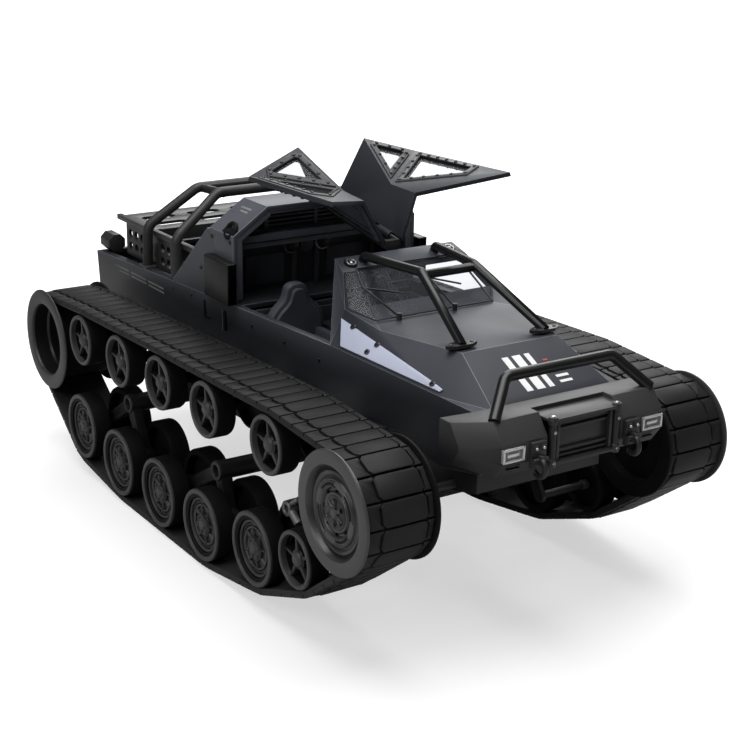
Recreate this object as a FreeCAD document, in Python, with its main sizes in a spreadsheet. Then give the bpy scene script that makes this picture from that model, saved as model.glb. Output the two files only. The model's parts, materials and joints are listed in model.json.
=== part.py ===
import FreeCAD, Part
import math
import os
import Sketcher
from FreeCAD import Placement, Rotation, Vector

# Tracked vehicle chassis, 1:12 model size, in millimetres.
# +X is forward, +Y is the left side, +Z is up. The origin is on the ground, below the middle of the box.

DIMS = {
    # running gear, as distances from the centre plane and wheel sizes
    "wheel_face": 107.9, "wheel_gap": 0.3, "belt_in": 70.6, "belt_out": 105.9,
    "belt_carcass": 2.0, "belt_lug": 2.3, "link_count": 78, "lug_share": 0.8,
    "flange_depth": 1.7, "inner_flange": 37.6, "wheel_depth": 39.3,
    "sprocket_flange": 29.3, "sprocket_drum": 23.4, "sprocket_dish": 21.0, "sprocket_hub": 7.0,
    "idler_flange": 30.6, "idler_drum": 24.7, "idler_well": 21.6, "idler_hub": 6.5,
    "idler_boss": 18.0, "idler_web": 22.0, "idler_back": 27.0, "idler_bore_end": 20.0,
    "dish_depth": 3.5, "dish_back": 34.0, "boss_depth": 1.2,
    "road_tyre": 19.5, "road_rim": 15.6, "roller_tyre": 15.0, "roller_rim": 12.6,
    "small_tyre": 14.7, "small_rim": 12.3, "rim_hub": 5.4, "sleeve": 3.2,
    "tyre_face": 0.8, "tyre_back": 12.5, "web_face": 4.0, "web_back": 7.2,
    "twin_front": 26.4, "twin_web": 31.6, "twin_web_back": 35.0, "twin_back": 38.6,
    "hub_face": 1.4, "bore": 2.06, "bore_end": 6.0, "axle": 2.0, "bracket": 2.4, "spokes": 5,
    "eye_bore": 3.27, "eye_ring": 6.4, "arm_in": 86.0, "arm_out": 91.4, "pivot_tube": 5.2,
    # lower hull
    "tub_half": 40.0, "tub_top": 95.8, "tub_floor": 46.0, "tub_rear": -188.0, "tub_front": 168.0,
    "tub_skin": 2.5,
    # body shell
    "shell_skin": 2.4, "body_half": 59.0, "body_rear": -204.0, "body_front": 175.5,
    "bulkhead_front": -23.4, "bulkhead_rear": -50.0, "roof_height": 176.0, "roof_half": 37.7,
    "shoulder_height": 161.6, "bed_front": -98.0, "bed_floor": 100.0,
    "cabin_rear": -21.0, "cabin_front": 71.5, "sill_inner": 55.0, "cabin_floor": 95.8,
    # doors
    "hinge_half": 4.2, "pin": 1.1, "pin_bore": 1.17, "knuckle": 2.1, "door_skin": 1.7,
    "left_open": 68.0, "right_open": 63.0, "glass_gap": 0.15, "glass_thick": 0.9, "frame_rise": 0.7,
    # tubes and fittings
    "cage_tube": 3.0, "guard_tube": 2.4, "bull_tube": 2.7, "roller": 1.6,
    "deck_half": 52.0, "deck_thick": 1.8, "lamp_pod": 6.0, "lamp_pod_length": 13.0,
    "shackle_ring": 4.2, "shackle_wire": 1.3, "eye_loop": 4.2, "eye_wire": 1.2,
    "motor": 12.0, "motor_length": 32.0, "cap": 4.6,
}

# Wheel centres (x, z) on each side, rear to front.
ROLLERS = [(-123.1, 84.4), (-71.7, 86.1), (-21.1, 88.4), (31.5, 89.8), (94.4, 91.7)]
ROADS = [(-126.6, 30.0), (-76.1, 24.1), (-24.7, 24.1), (25.6, 24.1), (80.0, 32.3)]
SMALL = (121.0, 43.0)
SPROCKET = (155.0, 79.7)
IDLER = (-175.0, 71.2)
BOGIE_PIVOTS = [(-92.0, 52.0), (16.0, 48.0)]

doc = FreeCAD.newDocument("tracked_chassis")
sheet = doc.addObject("Spreadsheet::Sheet", "dims")
for row, (alias, value) in enumerate(DIMS.items(), start=1):
    sheet.set(f"A{row}", alias)
    sheet.set(f"B{row}", str(value))
    sheet.setAlias(f"B{row}", alias)
doc.recompute()
parts = []


def dim(alias):
    """A driving dimension, read from the sheet. A leading minus sign turns it round."""
    if alias.startswith("-"):
        return -float(sheet.get(alias[1:]))
    return float(sheet.get(alias))


def term(alias):
    """The same dimension as an expression."""
    return f"-dims.{alias[1:]}" if alias.startswith("-") else f"dims.{alias}"


def keep(obj, label):
    """Lists an object as a sub-part; its label names its file."""
    obj.Label = label
    parts.append(obj)
    return obj


def solid_part(label, shape, placement=None):
    obj = doc.addObject("Part::Feature", label)
    obj.Shape = shape
    obj.Placement = placement or Placement()
    return keep(obj, label)


# ---------------------------------------------------------------- shape helpers

def flip(point):
    return Vector(point[0], -point[1], point[2])


def mirrored(shape):
    """The same shape on the other side of the centre plane."""
    return shape.mirror(Vector(0, 0, 0), Vector(0, 1, 0))


def both(shape):
    return Part.makeCompound([shape, mirrored(shape)])


def fused(shapes):
    first, rest = shapes[0], shapes[1:]
    return first.fuse(rest).removeSplitter() if rest else first


def box(x0, x1, y0, y1, z0, z1):
    return Part.makeBox(x1 - x0, y1 - y0, z1 - z0, Vector(x0, y0, z0))


def rod(start, end, radius):
    start, end = Vector(*start), Vector(*end)
    return Part.makeCylinder(radius, (end - start).Length, start, end - start)


def face(points):
    points = [Vector(*p) for p in points]
    return Part.Face(Part.makePolygon(points + points[:1]))


def polyhedron(faces):
    """A solid from its polygons; one with more than three corners is split into triangles."""
    made = []
    for points in faces:
        for i in range(1, len(points) - 1):
            made.append(face([points[0], points[i], points[i + 1]]))
    shell = Part.makeShell(made)
    shell.sewShape()
    solid = Part.makeSolid(Part.makeShell(shell.Faces))
    if solid.Volume < 0:
        solid.reverse()
    return solid


def plate(facets, push):
    """Facets that share edges, thickened along one direction into one skin."""
    prisms = []
    for points in facets:
        for i in range(1, len(points) - 1):
            prisms.append(face([points[0], points[i], points[i + 1]]).extrude(Vector(*push)))
    return fused(prisms)


def loft(stations):
    """Straight-sided solid through stations (x, [(y, z), ...]); each half outline is mirrored in Y."""
    wires = []
    for x, half in stations:
        outline = [(x, y, z) for y, z in half]
        outline += [(x, -y, z) for y, z in reversed(half) if y > 0]
        points = [Vector(*p) for p in outline]
        wires.append(Part.makePolygon(points + points[:1]))
    return Part.makeLoft(wires, True, True)


def tube(points, radius, bend):
    """A round bar along straight runs joined by tangent bends."""
    points = [Vector(*p) for p in points]
    edges, last = [], points[0]
    for before, corner, after in zip(points, points[1:], points[2:]):
        back, on = (before - corner).normalize(), (after - corner).normalize()
        half = back.getAngle(on) / 2
        trim = bend / math.tan(half)
        start, end = corner + back * trim, corner + on * trim
        middle = corner + (back + on).normalize() * (bend / math.sin(half) - bend)
        edges += [Part.LineSegment(last, start).toShape(), Part.Arc(start, middle, end).toShape()]
        last = end
    edges.append(Part.LineSegment(last, points[-1]).toShape())
    ring = Part.Wire([Part.makeCircle(radius, points[0], points[1] - points[0])])
    return Part.Wire(edges).makePipeShell([ring], True, True)


# ---------------------------------------------------------------- wheels

WHEEL_PROFILES = {
    "drive_sprocket": [
        ("-boss_depth", None), ("-boss_depth", "sprocket_hub"), ("-dish_depth", "sprocket_hub"),
        ("-dish_depth", "sprocket_dish"), (None, "sprocket_dish"), (None, "sprocket_flange"),
        ("-flange_depth", "sprocket_flange"), ("-flange_depth", "sprocket_drum"),
        ("-inner_flange", "sprocket_drum"), ("-inner_flange", "sprocket_flange"),
        ("-wheel_depth", "sprocket_flange"), ("-wheel_depth", "sprocket_dish"),
        ("-dish_back", "sprocket_dish"), ("-dish_back", "sprocket_hub"),
        ("-wheel_depth", "sprocket_hub"), ("-wheel_depth", "bore"), ("-bore_end", "bore"),
        ("-bore_end", None)],
    "rear_idler": [
        ("-idler_boss", None), ("-idler_boss", "idler_hub"), ("-idler_web", "idler_hub"),
        ("-idler_web", "idler_well"), (None, "idler_well"), (None, "idler_flange"),
        ("-flange_depth", "idler_flange"), ("-flange_depth", "idler_drum"),
        ("-inner_flange", "idler_drum"), ("-inner_flange", "idler_flange"),
        ("-wheel_depth", "idler_flange"), ("-wheel_depth", "idler_well"),
        ("-idler_back", "idler_well"), ("-idler_back", "idler_hub"),
        ("-wheel_depth", "idler_hub"), ("-wheel_depth", "bore"), ("-idler_bore_end", "bore"),
        ("-idler_bore_end", None)],
}


def twin_profile(tyre, rim, bored):
    """Two tyres on one sleeve, with a dished web in each."""
    outline = [
        ("-hub_face", None), ("-hub_face", "rim_hub"), ("-web_face", "rim_hub"), ("-web_face", rim),
        ("-tyre_face", rim), ("-tyre_face", tyre), ("-tyre_back", tyre), ("-tyre_back", rim),
        ("-web_back", rim), ("-web_back", "sleeve"), ("-twin_web", "sleeve"), ("-twin_web", rim),
        ("-twin_front", rim), ("-twin_front", tyre), ("-twin_back", tyre), ("-twin_back", rim),
        ("-twin_web_back", rim), ("-twin_web_back", "rim_hub"), ("-twin_back", "rim_hub")]
    if bored:
        return outline + [("-twin_back", "bore"), ("-bore_end", "bore"), ("-bore_end", None)]
    return outline + [("-twin_back", None)]


def origin_feature(body, role):
    return next(f for f in body.Origin.OriginFeatures if f.Role == role)


def bound_sketch(body, name, role, outline):
    """A closed outline whose every corner is bound to the sheet; None is zero."""
    sketch = body.newObject("Sketcher::SketchObject", name)
    sketch.AttachmentSupport = [(origin_feature(body, role), "")]
    sketch.MapMode = "FlatFace"
    corners = [(dim(a) if a else 0.0, dim(b) if b else 0.0) for a, b in outline]
    count = len(corners)
    for i, (u, v) in enumerate(corners):
        nu, nv = corners[(i + 1) % count]
        sketch.addGeometry(Part.LineSegment(Vector(u, v, 0), Vector(nu, nv, 0)), False)
    for i in range(count):
        sketch.addConstraint(Sketcher.Constraint("Coincident", i, 2, (i + 1) % count, 1))
    for i, names in enumerate(outline):
        for kind, alias in zip(("DistanceX", "DistanceY"), names):
            if alias is None:
                axis = 2 if kind == "DistanceX" else 1
                sketch.addConstraint(Sketcher.Constraint("PointOnObject", i, 1, -axis))
                continue
            index = sketch.addConstraint(Sketcher.Constraint(kind, -1, 1, i, 1, dim(alias)))
            sketch.setExpression(f"Constraints[{index}]", term(alias))
    return sketch


def cut_spokes(body, hub, rim):
    """Windows between the spokes, through both webs."""
    inner, outer = dim(hub) + 1.2, dim(rim) - 1.0
    turn = math.pi / dim("spokes")
    lean = 0.62
    sketch = body.newObject("Sketcher::SketchObject", "window")
    sketch.AttachmentSupport = [(origin_feature(body, "XZ_Plane"), "")]
    sketch.MapMode = "FlatFace"
    low = [(inner * math.sin(a), inner * math.cos(a)) for a in (-turn * lean * 0.5, turn * lean * 0.5)]
    high = [(outer * math.sin(a), outer * math.cos(a)) for a in (turn * lean, 0, -turn * lean)]
    a, b = (Vector(*p, 0) for p in low)
    c, d, e = (Vector(*p, 0) for p in high)
    sketch.addGeometry(Part.LineSegment(a, b), False)
    sketch.addGeometry(Part.LineSegment(b, c), False)
    sketch.addGeometry(Part.Arc(c, d, e), False)
    sketch.addGeometry(Part.LineSegment(e, a), False)
    sketch.Visibility = False
    doc.recompute()
    before = body.Shape.Volume
    pocket = body.newObject("PartDesign::Pocket", "spoke_window")
    pocket.Profile = sketch
    pocket.Type = "ThroughAll"
    pocket.Midplane = True
    pattern = body.newObject("PartDesign::PolarPattern", "spoke_pattern")
    pattern.Originals = [pocket]
    pattern.Axis = (origin_feature(body, "Y_Axis"), [""])
    pattern.Angle = 360
    pattern.setExpression("Occurrences", "dims.spokes")
    body.Tip = pattern
    doc.recompute()
    if body.Shape.Volume > before - 1:
        raise RuntimeError(f"{body.Label}: the spoke windows cut nothing")


def wheel(label, side, centre, outline, spoked=None):
    body = doc.addObject("PartDesign::Body", label)
    sketch = bound_sketch(body, "profile", "YZ_Plane", outline)
    turned = body.newObject("PartDesign::Revolution", "turned")
    turned.Profile = sketch
    turned.ReferenceAxis = (sketch, ["H_Axis"])
    turned.Angle = 360
    body.Tip = turned
    doc.recompute()
    if spoked:
        cut_spokes(body, "rim_hub", spoked)
    angle = 0 if side > 0 else 180
    body.Placement = Placement(Vector(centre[0], 0, centre[1]), Rotation(Vector(0, 0, 1), angle))
    body.setExpression("Placement.Base.y", "dims.wheel_face" if side > 0 else "-dims.wheel_face")
    return keep(body, label)


def make_wheels():
    for side_name, side in (("right", -1), ("left", 1)):
        for name, centre in (("rear_idler", IDLER), ("drive_sprocket", SPROCKET)):
            wheel(f"{side_name}_{name}", side, centre, WHEEL_PROFILES[name])
        for i, centre in enumerate(ROLLERS, start=1):
            outline = twin_profile("roller_tyre", "roller_rim", True)
            wheel(f"{side_name}_top_roller_{i}", side, centre, outline, "roller_rim")
        for i, centre in enumerate(ROADS, start=1):
            outline = twin_profile("road_tyre", "road_rim", i == len(ROADS))
            wheel(f"{side_name}_road_wheel_{i}", side, centre, outline)
        outline = twin_profile("small_tyre", "small_rim", True)
        wheel(f"{side_name}_front_small_wheel", side, SMALL, outline, "small_rim")


# ---------------------------------------------------------------- tracks

def belt_circles():
    """Each wheel the belt can rest on, as (x, z, radius of the belt's inner face)."""
    gap = dim("wheel_gap")
    circles = [(*IDLER, dim("idler_drum") + gap), (*SPROCKET, dim("sprocket_drum") + gap)]
    circles += [(x, z, dim("roller_tyre") + gap) for x, z in ROLLERS]
    circles += [(x, z, dim("road_tyre") + gap) for x, z in ROADS]
    return circles + [(*SMALL, dim("small_tyre") + gap)]


def belt_wraps():
    """The wheels that the belt bends round, in order, each with its first and last angle."""
    circles = belt_circles()
    steps = 3600
    support = []
    for i in range(steps):
        angle = 2 * math.pi * i / steps
        reach = [x * math.cos(angle) + z * math.sin(angle) + r for x, z, r in circles]
        support.append(reach.index(max(reach)))
    start = next(i for i in range(steps) if support[i] != support[i - 1])
    order = []
    for i in range(steps):
        wheel_index = support[(start + i) % steps]
        if not order or order[-1] != wheel_index:
            order.append(wheel_index)
    joins = []
    for here, there in zip(order, order[1:] + order[:1]):
        (x0, z0, r0), (x1, z1, r1) = circles[here], circles[there]
        heading = math.atan2(z1 - z0, x1 - x0)
        joins.append(heading - math.acos((r0 - r1) / math.hypot(x1 - x0, z1 - z0)))
    wraps = []
    for i, wheel_index in enumerate(order):
        first, last = joins[i - 1], joins[i]
        wraps.append((circles[wheel_index], first, first + (last - first) % (2 * math.pi)))
    return wraps


def belt_point(wraps, offset, along):
    """The point at a distance along the belt's inner face, moved outwards by offset."""
    for i, ((x, z, r), first, last) in enumerate(wraps):
        arc = r * (last - first)
        if along <= arc:
            angle = first + along / r
            return x + (r + offset) * math.cos(angle), z + (r + offset) * math.sin(angle)
        along -= arc
        (nx, nz, nr), _, _ = wraps[(i + 1) % len(wraps)]
        ux, uz = math.cos(last), math.sin(last)
        sx, sz = x + r * ux, z + r * uz
        run = math.hypot(nx + nr * ux - sx, nz + nr * uz - sz)
        if along <= run:
            return sx - uz * along + offset * ux, sz + ux * along + offset * uz
        along -= run
    return belt_point(wraps, offset, 0.0)


def belt_length(wraps):
    total = 0.0
    for i, ((x, z, r), first, last) in enumerate(wraps):
        (nx, nz, nr), _, _ = wraps[(i + 1) % len(wraps)]
        ux, uz = math.cos(last), math.sin(last)
        total += r * (last - first) + math.hypot(nx + nr * ux - x - r * ux, nz + nr * uz - z - r * uz)
    return total


def track():
    """The rubber belt of one side: a closed band with a cross lug on every link."""
    wraps = belt_wraps()
    links = int(dim("link_count"))
    pitch = belt_length(wraps) / links
    low, high = dim("belt_carcass"), dim("belt_carcass") + dim("belt_lug")
    outer, inner = [], []
    for link in range(links):
        start = link * pitch
        groove = pitch * (1 - dim("lug_share"))
        steps = ((0, low), (groove, low), (groove, high), (pitch * 0.6, high), (pitch, high))
        for along, offset in steps:
            x, z = belt_point(wraps, offset, start + along)
            outer.append(Vector(x, dim("belt_in"), max(z, 0.0)))
        for share in (0.0, 0.5):
            x, z = belt_point(wraps, 0.0, start + share * pitch)
            inner.append(Vector(x, dim("belt_in"), z))
    ring = Part.Face([Part.makePolygon(outer + outer[:1]), Part.makePolygon(inner + inner[:1])])
    ring.validate()
    return ring.extrude(Vector(0, dim("belt_out") - dim("belt_in"), 0))


def make_tracks():
    band = track()
    solid_part("left_track", band)
    solid_part("right_track", mirrored(band))


# ---------------------------------------------------------------- running gear mounts

def link_bar(start, end, y0, y1, width):
    """A flat bar with round ends between two axle centres (x, z)."""
    (x0, z0), (x1, z1) = start, end
    run = Vector(x1 - x0, 0, z1 - z0)
    side = Vector(-run.z, 0, run.x).normalize() * (width / 2)
    a, b = Vector(x0, y0, z0), Vector(x1, y0, z1)
    return face([a + side, b + side, b - side, a - side]).extrude(Vector(0, y1 - y0, 0))


def make_suspension():
    """Bogies: a pivot tube from the hull, and two arms that hold a pair of road wheels."""
    y0, y1 = dim("arm_in"), dim("arm_out")
    pieces = []
    for pivot, pair in zip(BOGIE_PIVOTS, (ROADS[0:2], ROADS[2:4])):
        hull_end, outer_end = ((pivot[0], y, pivot[1]) for y in (dim("tub_half"), y1))
        arms = [rod(hull_end, outer_end, dim("pivot_tube"))]
        bores = [rod((pivot[0], y1 - 4, pivot[1]), (pivot[0], y1 + 1, pivot[1]), dim("eye_bore"))]
        for x, z in pair:
            arms.append(link_bar(pivot, (x, z), y0, y1, 7.0))
            arms.append(rod((x, y0, z), (x, y1, z), dim("eye_ring")))
            bores.append(rod((x, y0 - 1, z), (x, y1 + 1, z), dim("eye_bore")))
        bogie = fused(arms)
        pieces.append(bogie.cut(bores))
    solid_part("suspension_arms", Part.makeCompound([both(p) for p in pieces]))


def make_axles():
    """Fixed stub axles for the wheels that turn on the hull; the two lowest stand on brackets at its side."""
    side, reach = dim("tub_half"), dim("wheel_face") - dim("bore_end") - 0.5
    plate = side + dim("bracket")
    axles = []
    for x, z in ROLLERS + [SPROCKET]:
        axles.append(both(rod((x, side, z), (x, reach, z), dim("axle"))))
    for (x, z), foot in ((ROADS[4], (80.0, 58.0)), (SMALL, (108.0, 64.0))):
        bar, eye = link_bar(foot, (x, z), side, plate, 7.0), rod((x, side, z), (x, plate, z), 3.5)
        axles.append(both(fused([bar, eye])))
        axles.append(both(rod((x, plate, z), (x, reach, z), dim("axle"))))
    x, z = IDLER
    reach = dim("wheel_face") - dim("idler_bore_end") - 0.5
    axles.append(both(rod((x, side, z), (x, reach, z), dim("axle"))))
    solid_part("wheel_axles", Part.makeCompound(axles))


# ---------------------------------------------------------------- hull and body shell

def make_tub():
    half, top, floor = dim("tub_half"), dim("tub_top"), dim("tub_floor")
    rear, front, skin = dim("tub_rear"), dim("tub_front"), dim("tub_skin")
    rows = [(rear, half, floor + 24), (rear + 24, half, floor), (front - 66, half, floor),
            (front - 40, half, floor + 26), (front - 10, half, floor + 30.5), (front, half - 3, floor + 32)]
    outer = loft([(x, [(y, top), (y, z)]) for x, y, z in rows])
    rim = box(rear - 12, 112, -54.5, 54.5, top - 1.8, top)
    rows[0], rows[-1] = (rear + skin, half, floor + 24), (front - skin, half - 3, floor + 32)
    inner = loft([(x, [(y - skin, top + 1), (y - skin, z + skin)]) for x, y, z in rows])
    solid_part("chassis_tub", fused([outer, rim]).cut(inner))


def waist_stations():
    """The body's side below the waist line: x, half width and height at the top, then at the bottom."""
    half, low = dim("body_half"), dim("tub_top") + 0.1
    return [(dim("body_rear"), half, 115.0, 57.5, low - 9.5), (dim("bed_front"), half, 120.2, 57.5, low),
            (75.0, half, 128.2, 57.5, low), (116.0, 51.14, 124.27, 49.6, low),
            (148.0, 45.0, 121.2, 43.5, 86.0), (dim("body_front"), 42.3, 119.9, 41.0, 91.0)]


def waist(x):
    """Height of the waist line, from the bed to the screen pillar."""
    rows = waist_stations()
    (x0, _, z0, _, _), (x1, _, z1, _, _) = rows[:2] if x < rows[1][0] else rows[1:3]
    return z0 + (z1 - z0) * (x - x0) / (x1 - x0)


def make_body_shell():
    skin = dim("shell_skin")
    rows = waist_stations()
    outer = loft([(x, [(yt, zt), (yb, zb)]) for x, yt, zt, yb, zb in rows])
    rows[0] = (rows[0][0] + skin, *rows[0][1:])
    rows[-1] = (rows[-1][0] - skin, *rows[-1][1:])
    inner = loft([(x, [(yt - skin, zt - skin), (yb - skin, zb - 4)]) for x, yt, zt, yb, zb in rows])
    shell = outer.cut(inner)
    sill = dim("sill_inner")
    cabin = box(dim("cabin_rear"), dim("cabin_front") + 4, -sill, sill, 90, 140)
    ground = dim("bed_floor")
    bed = box(dim("body_rear") + 4, dim("bed_front"), -sill + 1, sill - 1, ground, 140)
    shell = shell.cut([cabin, bed])
    side = sill + 1.2
    floor = box(dim("body_rear") + 2, dim("bed_front") + 2, -side, side, ground - 2, ground)
    wall = box(dim("bed_front"), dim("bed_front") + 2, -side, side, ground - 2, 118.5)
    rail = box(dim("bulkhead_rear") - 2, dim("cabin_rear"), -side, side, 116.0, 119.6)
    solid_part("body_shell", fused([shell, floor, wall, rail]))


# Corner points of the upper front body, left side.
HEADER_REAR = (43.0, 36.6, 161.9)
HEADER_FRONT = (54.0, 38.5, 157.5)
PILLAR_FOOT = (75.0, 59.0, 128.2)
GLASS_LOW = (80.0, 36.0, 138.0)
HOOD_SIDE = (94.0, 42.3, 138.2)
WAIST_BEND = (148.0, 45.0, 121.2)
NOSE_LOW = (175.5, 35.5, 121.0)
WAIST_FRONT = (175.5, 42.3, 119.9)
GLASS_TOP = (54.0, 31.0, 157.5)


def on_side(x, z):
    """The point of the hood's flat side panel at a given length and height."""
    base, along, up = Vector(*PILLAR_FOOT), Vector(*WAIST_BEND), Vector(*HOOD_SIDE)
    normal = (along - base).cross(up - base)
    return (x, base.y - (normal.x * (x - base.x) + normal.z * (z - base.z)) / normal.y, z)


GLASS_SIDE = on_side(67.5, 142.3)
CREST = on_side(141.7, 137.8)


def moved(point, dx, dy, dz):
    return (point[0] + dx, point[1] + dy, point[2] + dz)


def cowl_faces(dx, dy, dz, drop):
    """The hood as a closed form, its corners moved inwards by dy and dz and its base by drop."""
    rear = moved(PILLAR_FOOT, dx, dy, -drop)
    side, low, edge = (moved(p, dx, dy, dz) for p in (GLASS_SIDE, GLASS_LOW, HOOD_SIDE))
    crest, nose = moved(CREST, -dx, dy, dz), moved(NOSE_LOW, -dx, dy, dz)
    bend, front = moved(WAIST_BEND, 0, dy, -drop), moved(WAIST_FRONT, -dx, dy, -drop)
    left = [[side, edge, rear], [rear, edge, bend], [edge, crest, bend], [crest, nose, bend],
            [nose, front, bend], [low, edge, side]]
    faces = left + [[tuple(flip(p)) for p in reversed(f)] for f in left]
    m = [tuple(flip(p)) for p in (rear, side, low, edge, crest, nose, bend, front)]
    faces += [[low, m[2], m[3]], [low, m[3], edge], [edge, m[3], m[4]], [edge, m[4], crest],
              [crest, m[4], m[5]], [crest, m[5], nose], [nose, m[5], m[7]], [nose, m[7], front],
              [rear, m[0], side], [side, m[0], m[1]], [side, m[1], low], [low, m[1], m[2]],
              [front, m[7], m[6]], [front, m[6], bend], [bend, m[6], m[0]], [bend, m[0], rear]]
    return faces


def make_cowl():
    """Hood, screen pillars and header: one moulding that sits on the waist line."""
    outer = polyhedron(cowl_faces(0, 0, 0, -0.05))
    inner = polyhedron(cowl_faces(2.0, -2.4, -2.2, 4.0))
    hood = outer.cut(inner)
    push = (-1.2, -2.2, -1.2)
    pillar = plate([[HEADER_REAR, HEADER_FRONT, GLASS_SIDE, PILLAR_FOOT]], push)
    header = plate([[HEADER_REAR, HEADER_FRONT, flip(HEADER_FRONT), flip(HEADER_REAR)]], (0, 0, -3.0))
    solid_part("cab_cowl", fused([hood, pillar, mirrored(pillar), header]))


def make_screen():
    """Windscreen: a flat middle pane with a three-cornered pane wrapped round each side."""
    lift = 0.15
    corners = (GLASS_TOP, GLASS_LOW, GLASS_SIDE, HEADER_FRONT)
    top, low, side, high = (moved(p, lift, 0, lift) for p in corners)
    top, high = moved(top, 0.3, 0, -1.0), moved(high, 0.3, -0.4, -1.0)
    side = moved(side, 0.6, -0.9, 0.6)
    panes = [[top, low, flip(low), flip(top)], [top, high, side], [top, side, low]]
    panes += [[flip(p) for p in pane] for pane in panes[1:]]
    solid_part("windscreen_glass", plate(panes, (0.9, 0, 0.9)))


def make_bulkhead():
    """Roof, shoulders and rear wall of the cab, with the sail panels that run down to the bed."""
    front, rear, skin = dim("bulkhead_front"), dim("bulkhead_rear"), 2.6
    roof, high = dim("roof_half"), dim("roof_height")
    half, shoulder = dim("body_half"), dim("shoulder_height")
    section = [(roof, high), (half, shoulder)]
    inside = [(roof - 1, high - skin), (half - skin, shoulder - 1.2)]
    hole = [(roof - 4, high - 6), (half - 6, shoulder - 4), (half - 6, waist(rear) - 2)]

    def ring(x0, x1, outline, drop):
        return loft([(x, outline + [(outline[-1][0], waist(x) + 0.05 - drop)]) for x in (x0, x1)])

    shell = ring(rear, front, section, 0).cut(ring(rear + skin, front + 1, inside, 4))
    lip = ring(front - 8, front - 5.5, inside, 0).cut(loft([(front - 9, hole), (front, hole)]))
    foot = dim("bed_front") + 1
    sail = face([(rear + 1, half, shoulder - 0.9), (rear - 3, half, shoulder - 0.9),
                 (foot, half, waist(foot) + 1.0), (foot, half, waist(foot) + 0.05),
                 (rear + 1, half, waist(rear + 1) + 0.05)])
    sail = sail.extrude(Vector(0, -skin, 0))
    lamp = Part.makeCylinder(4.0, 3.0, Vector(rear + skin, 0, 146), Vector(1, 0, 0))
    solid_part("rear_bulkhead", fused([shell, lip, sail, mirrored(sail), lamp]))


def make_scoops():
    """Air scoops on the bulkhead's sides, open towards the front."""
    half = dim("body_half")
    outer = [(-54.0, half + 1.4, 127.0, 146.0), (-46.0, half + 6.0, 125.0, 148.0),
             (-19.0, half + 6.0, 125.0, 148.0)]

    def form(rows, skin):
        wires = []
        for x, y, z0, z1 in rows:
            a, b, low, high = half + 0.05, y - skin, z0 + skin, z1 - skin
            points = [Vector(x, a, low), Vector(x, b, low), Vector(x, b, high), Vector(x, a, high)]
            wires.append(Part.makePolygon(points + points[:1]))
        return Part.makeLoft(wires, True, True)

    hollow = form([(-44.0, *outer[1][1:]), (-18.0, *outer[2][1:])], 1.2)
    solid_part("intake_scoops", both(form(outer, 0.0).cut(hollow)))


def make_seats_and_cabin():
    """Cabin tray with the dashboard, and two bucket seats."""
    rear, front, sill = dim("cabin_rear") + 0.3, dim("cabin_front"), dim("sill_inner") - 0.3
    floor = dim("cabin_floor")
    tray = box(rear, front, -sill, sill, floor, 117.0)
    tray = tray.cut(box(rear + 2, front - 2, -sill + 2, sill - 2, floor + 2, 120))
    dash = loft([(x, [(y, top), (y, floor + 1)]) for x, y, top in
                 ((54.0, sill - 8, 121.0), (60.0, sill - 8, 129.0), (front - 1, sill - 10, 131.0))])
    tunnel = box(rear + 1, 56, -7, 7, floor + 1, 108)
    solid_part("cabin_tub", fused([tray, dash, tunnel]))
    seats = []
    for y in (-27.0, 27.0):
        base = box(-10, 24, y - 15, y + 15, floor + 2.0, floor + 13)
        hollow = box(-4, 26, y - 10, y + 10, floor + 8.5, floor + 14)
        outline = [(y - 16, floor + 2), (y - 16, floor + 26), (y - 9, floor + 38), (y - 6.5, floor + 44),
                   (y + 6.5, floor + 44), (y + 9, floor + 38), (y + 16, floor + 26), (y + 16, floor + 2)]
        back = face([(-16, yy, zz) for yy, zz in outline]).extrude(Vector(7, 0, 0))
        seats.append(fused([base.cut(hollow), back]))
    solid_part("seats", Part.makeCompound(seats))


# ---------------------------------------------------------------- doors

HINGE_FRONT = (42.3, 165.3)
HINGE_REAR = (-22.4, 175.5)
HINGE_DROP = -0.0355
DOOR_T = (59.6, 60.2, 133.3)
DOOR_N = (-22.6, 45.7, 140.4)


def hinge_height(x):
    (x0, z0), (x1, z1) = HINGE_FRONT, HINGE_REAR
    return z0 + (z1 - z0) * (x - x0) / (x1 - x0)


def roof_point(x, y):
    """A point of the closed door's roof panel."""
    return (x, y, hinge_height(x) + HINGE_DROP * (y - dim("hinge_half")))


def door_facets():
    inner = dim("hinge_half") + 1.8
    roof = [roof_point(41.5, inner), roof_point(-22.4, inner), roof_point(-22.6, 41.4),
            roof_point(15.0, 27.5), roof_point(35.2, 30.0)]
    corner, kink, nose = roof[2], roof[3], roof[4]
    return roof, [corner, DOOR_N, kink], [kink, DOOR_N, DOOR_T, nose]


def inset(points, distance):
    """The same flat polygon with every side moved inwards."""
    points = [Vector(*p) for p in points]
    normal = (points[1] - points[0]).cross(points[2] - points[0]).normalize()
    count, lines = len(points), []
    for i in range(count):
        run = (points[(i + 1) % count] - points[i]).normalize()
        lines.append((points[i] + normal.cross(run) * distance, run))
    made = []
    for i in range(count):
        (p, u), (q, v) = lines[i - 1], lines[i]
        made.append(p + u * ((q - p).cross(v).dot(u.cross(v)) / u.cross(v).Length ** 2))
    return made


def between(a, b, share):
    return Vector(*a) + (Vector(*b) - Vector(*a)) * share


def door_windows():
    """Outer outlines of the two window frames of a door, on its closed side facets."""
    _, (corner, low_rear, kink), (_, _, low_front, nose) = door_facets()
    rear = inset([corner, low_rear, kink], 2.6)
    rear = [between(rear[0], rear[2], 0.10), between(rear[0], rear[1], 0.12),
            between(rear[0], rear[1], 0.80), between(rear[1], rear[2], 0.12), rear[2]]
    front = inset([kink, low_rear, low_front], 2.6)
    front = [front[0], between(front[1], front[0], 0.12), between(front[1], front[2], 0.03),
             between(front[1], front[2], 0.76), between(front[2], front[0], 0.30),
             between(front[2], front[0], 0.72)]
    return rear, front


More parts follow.
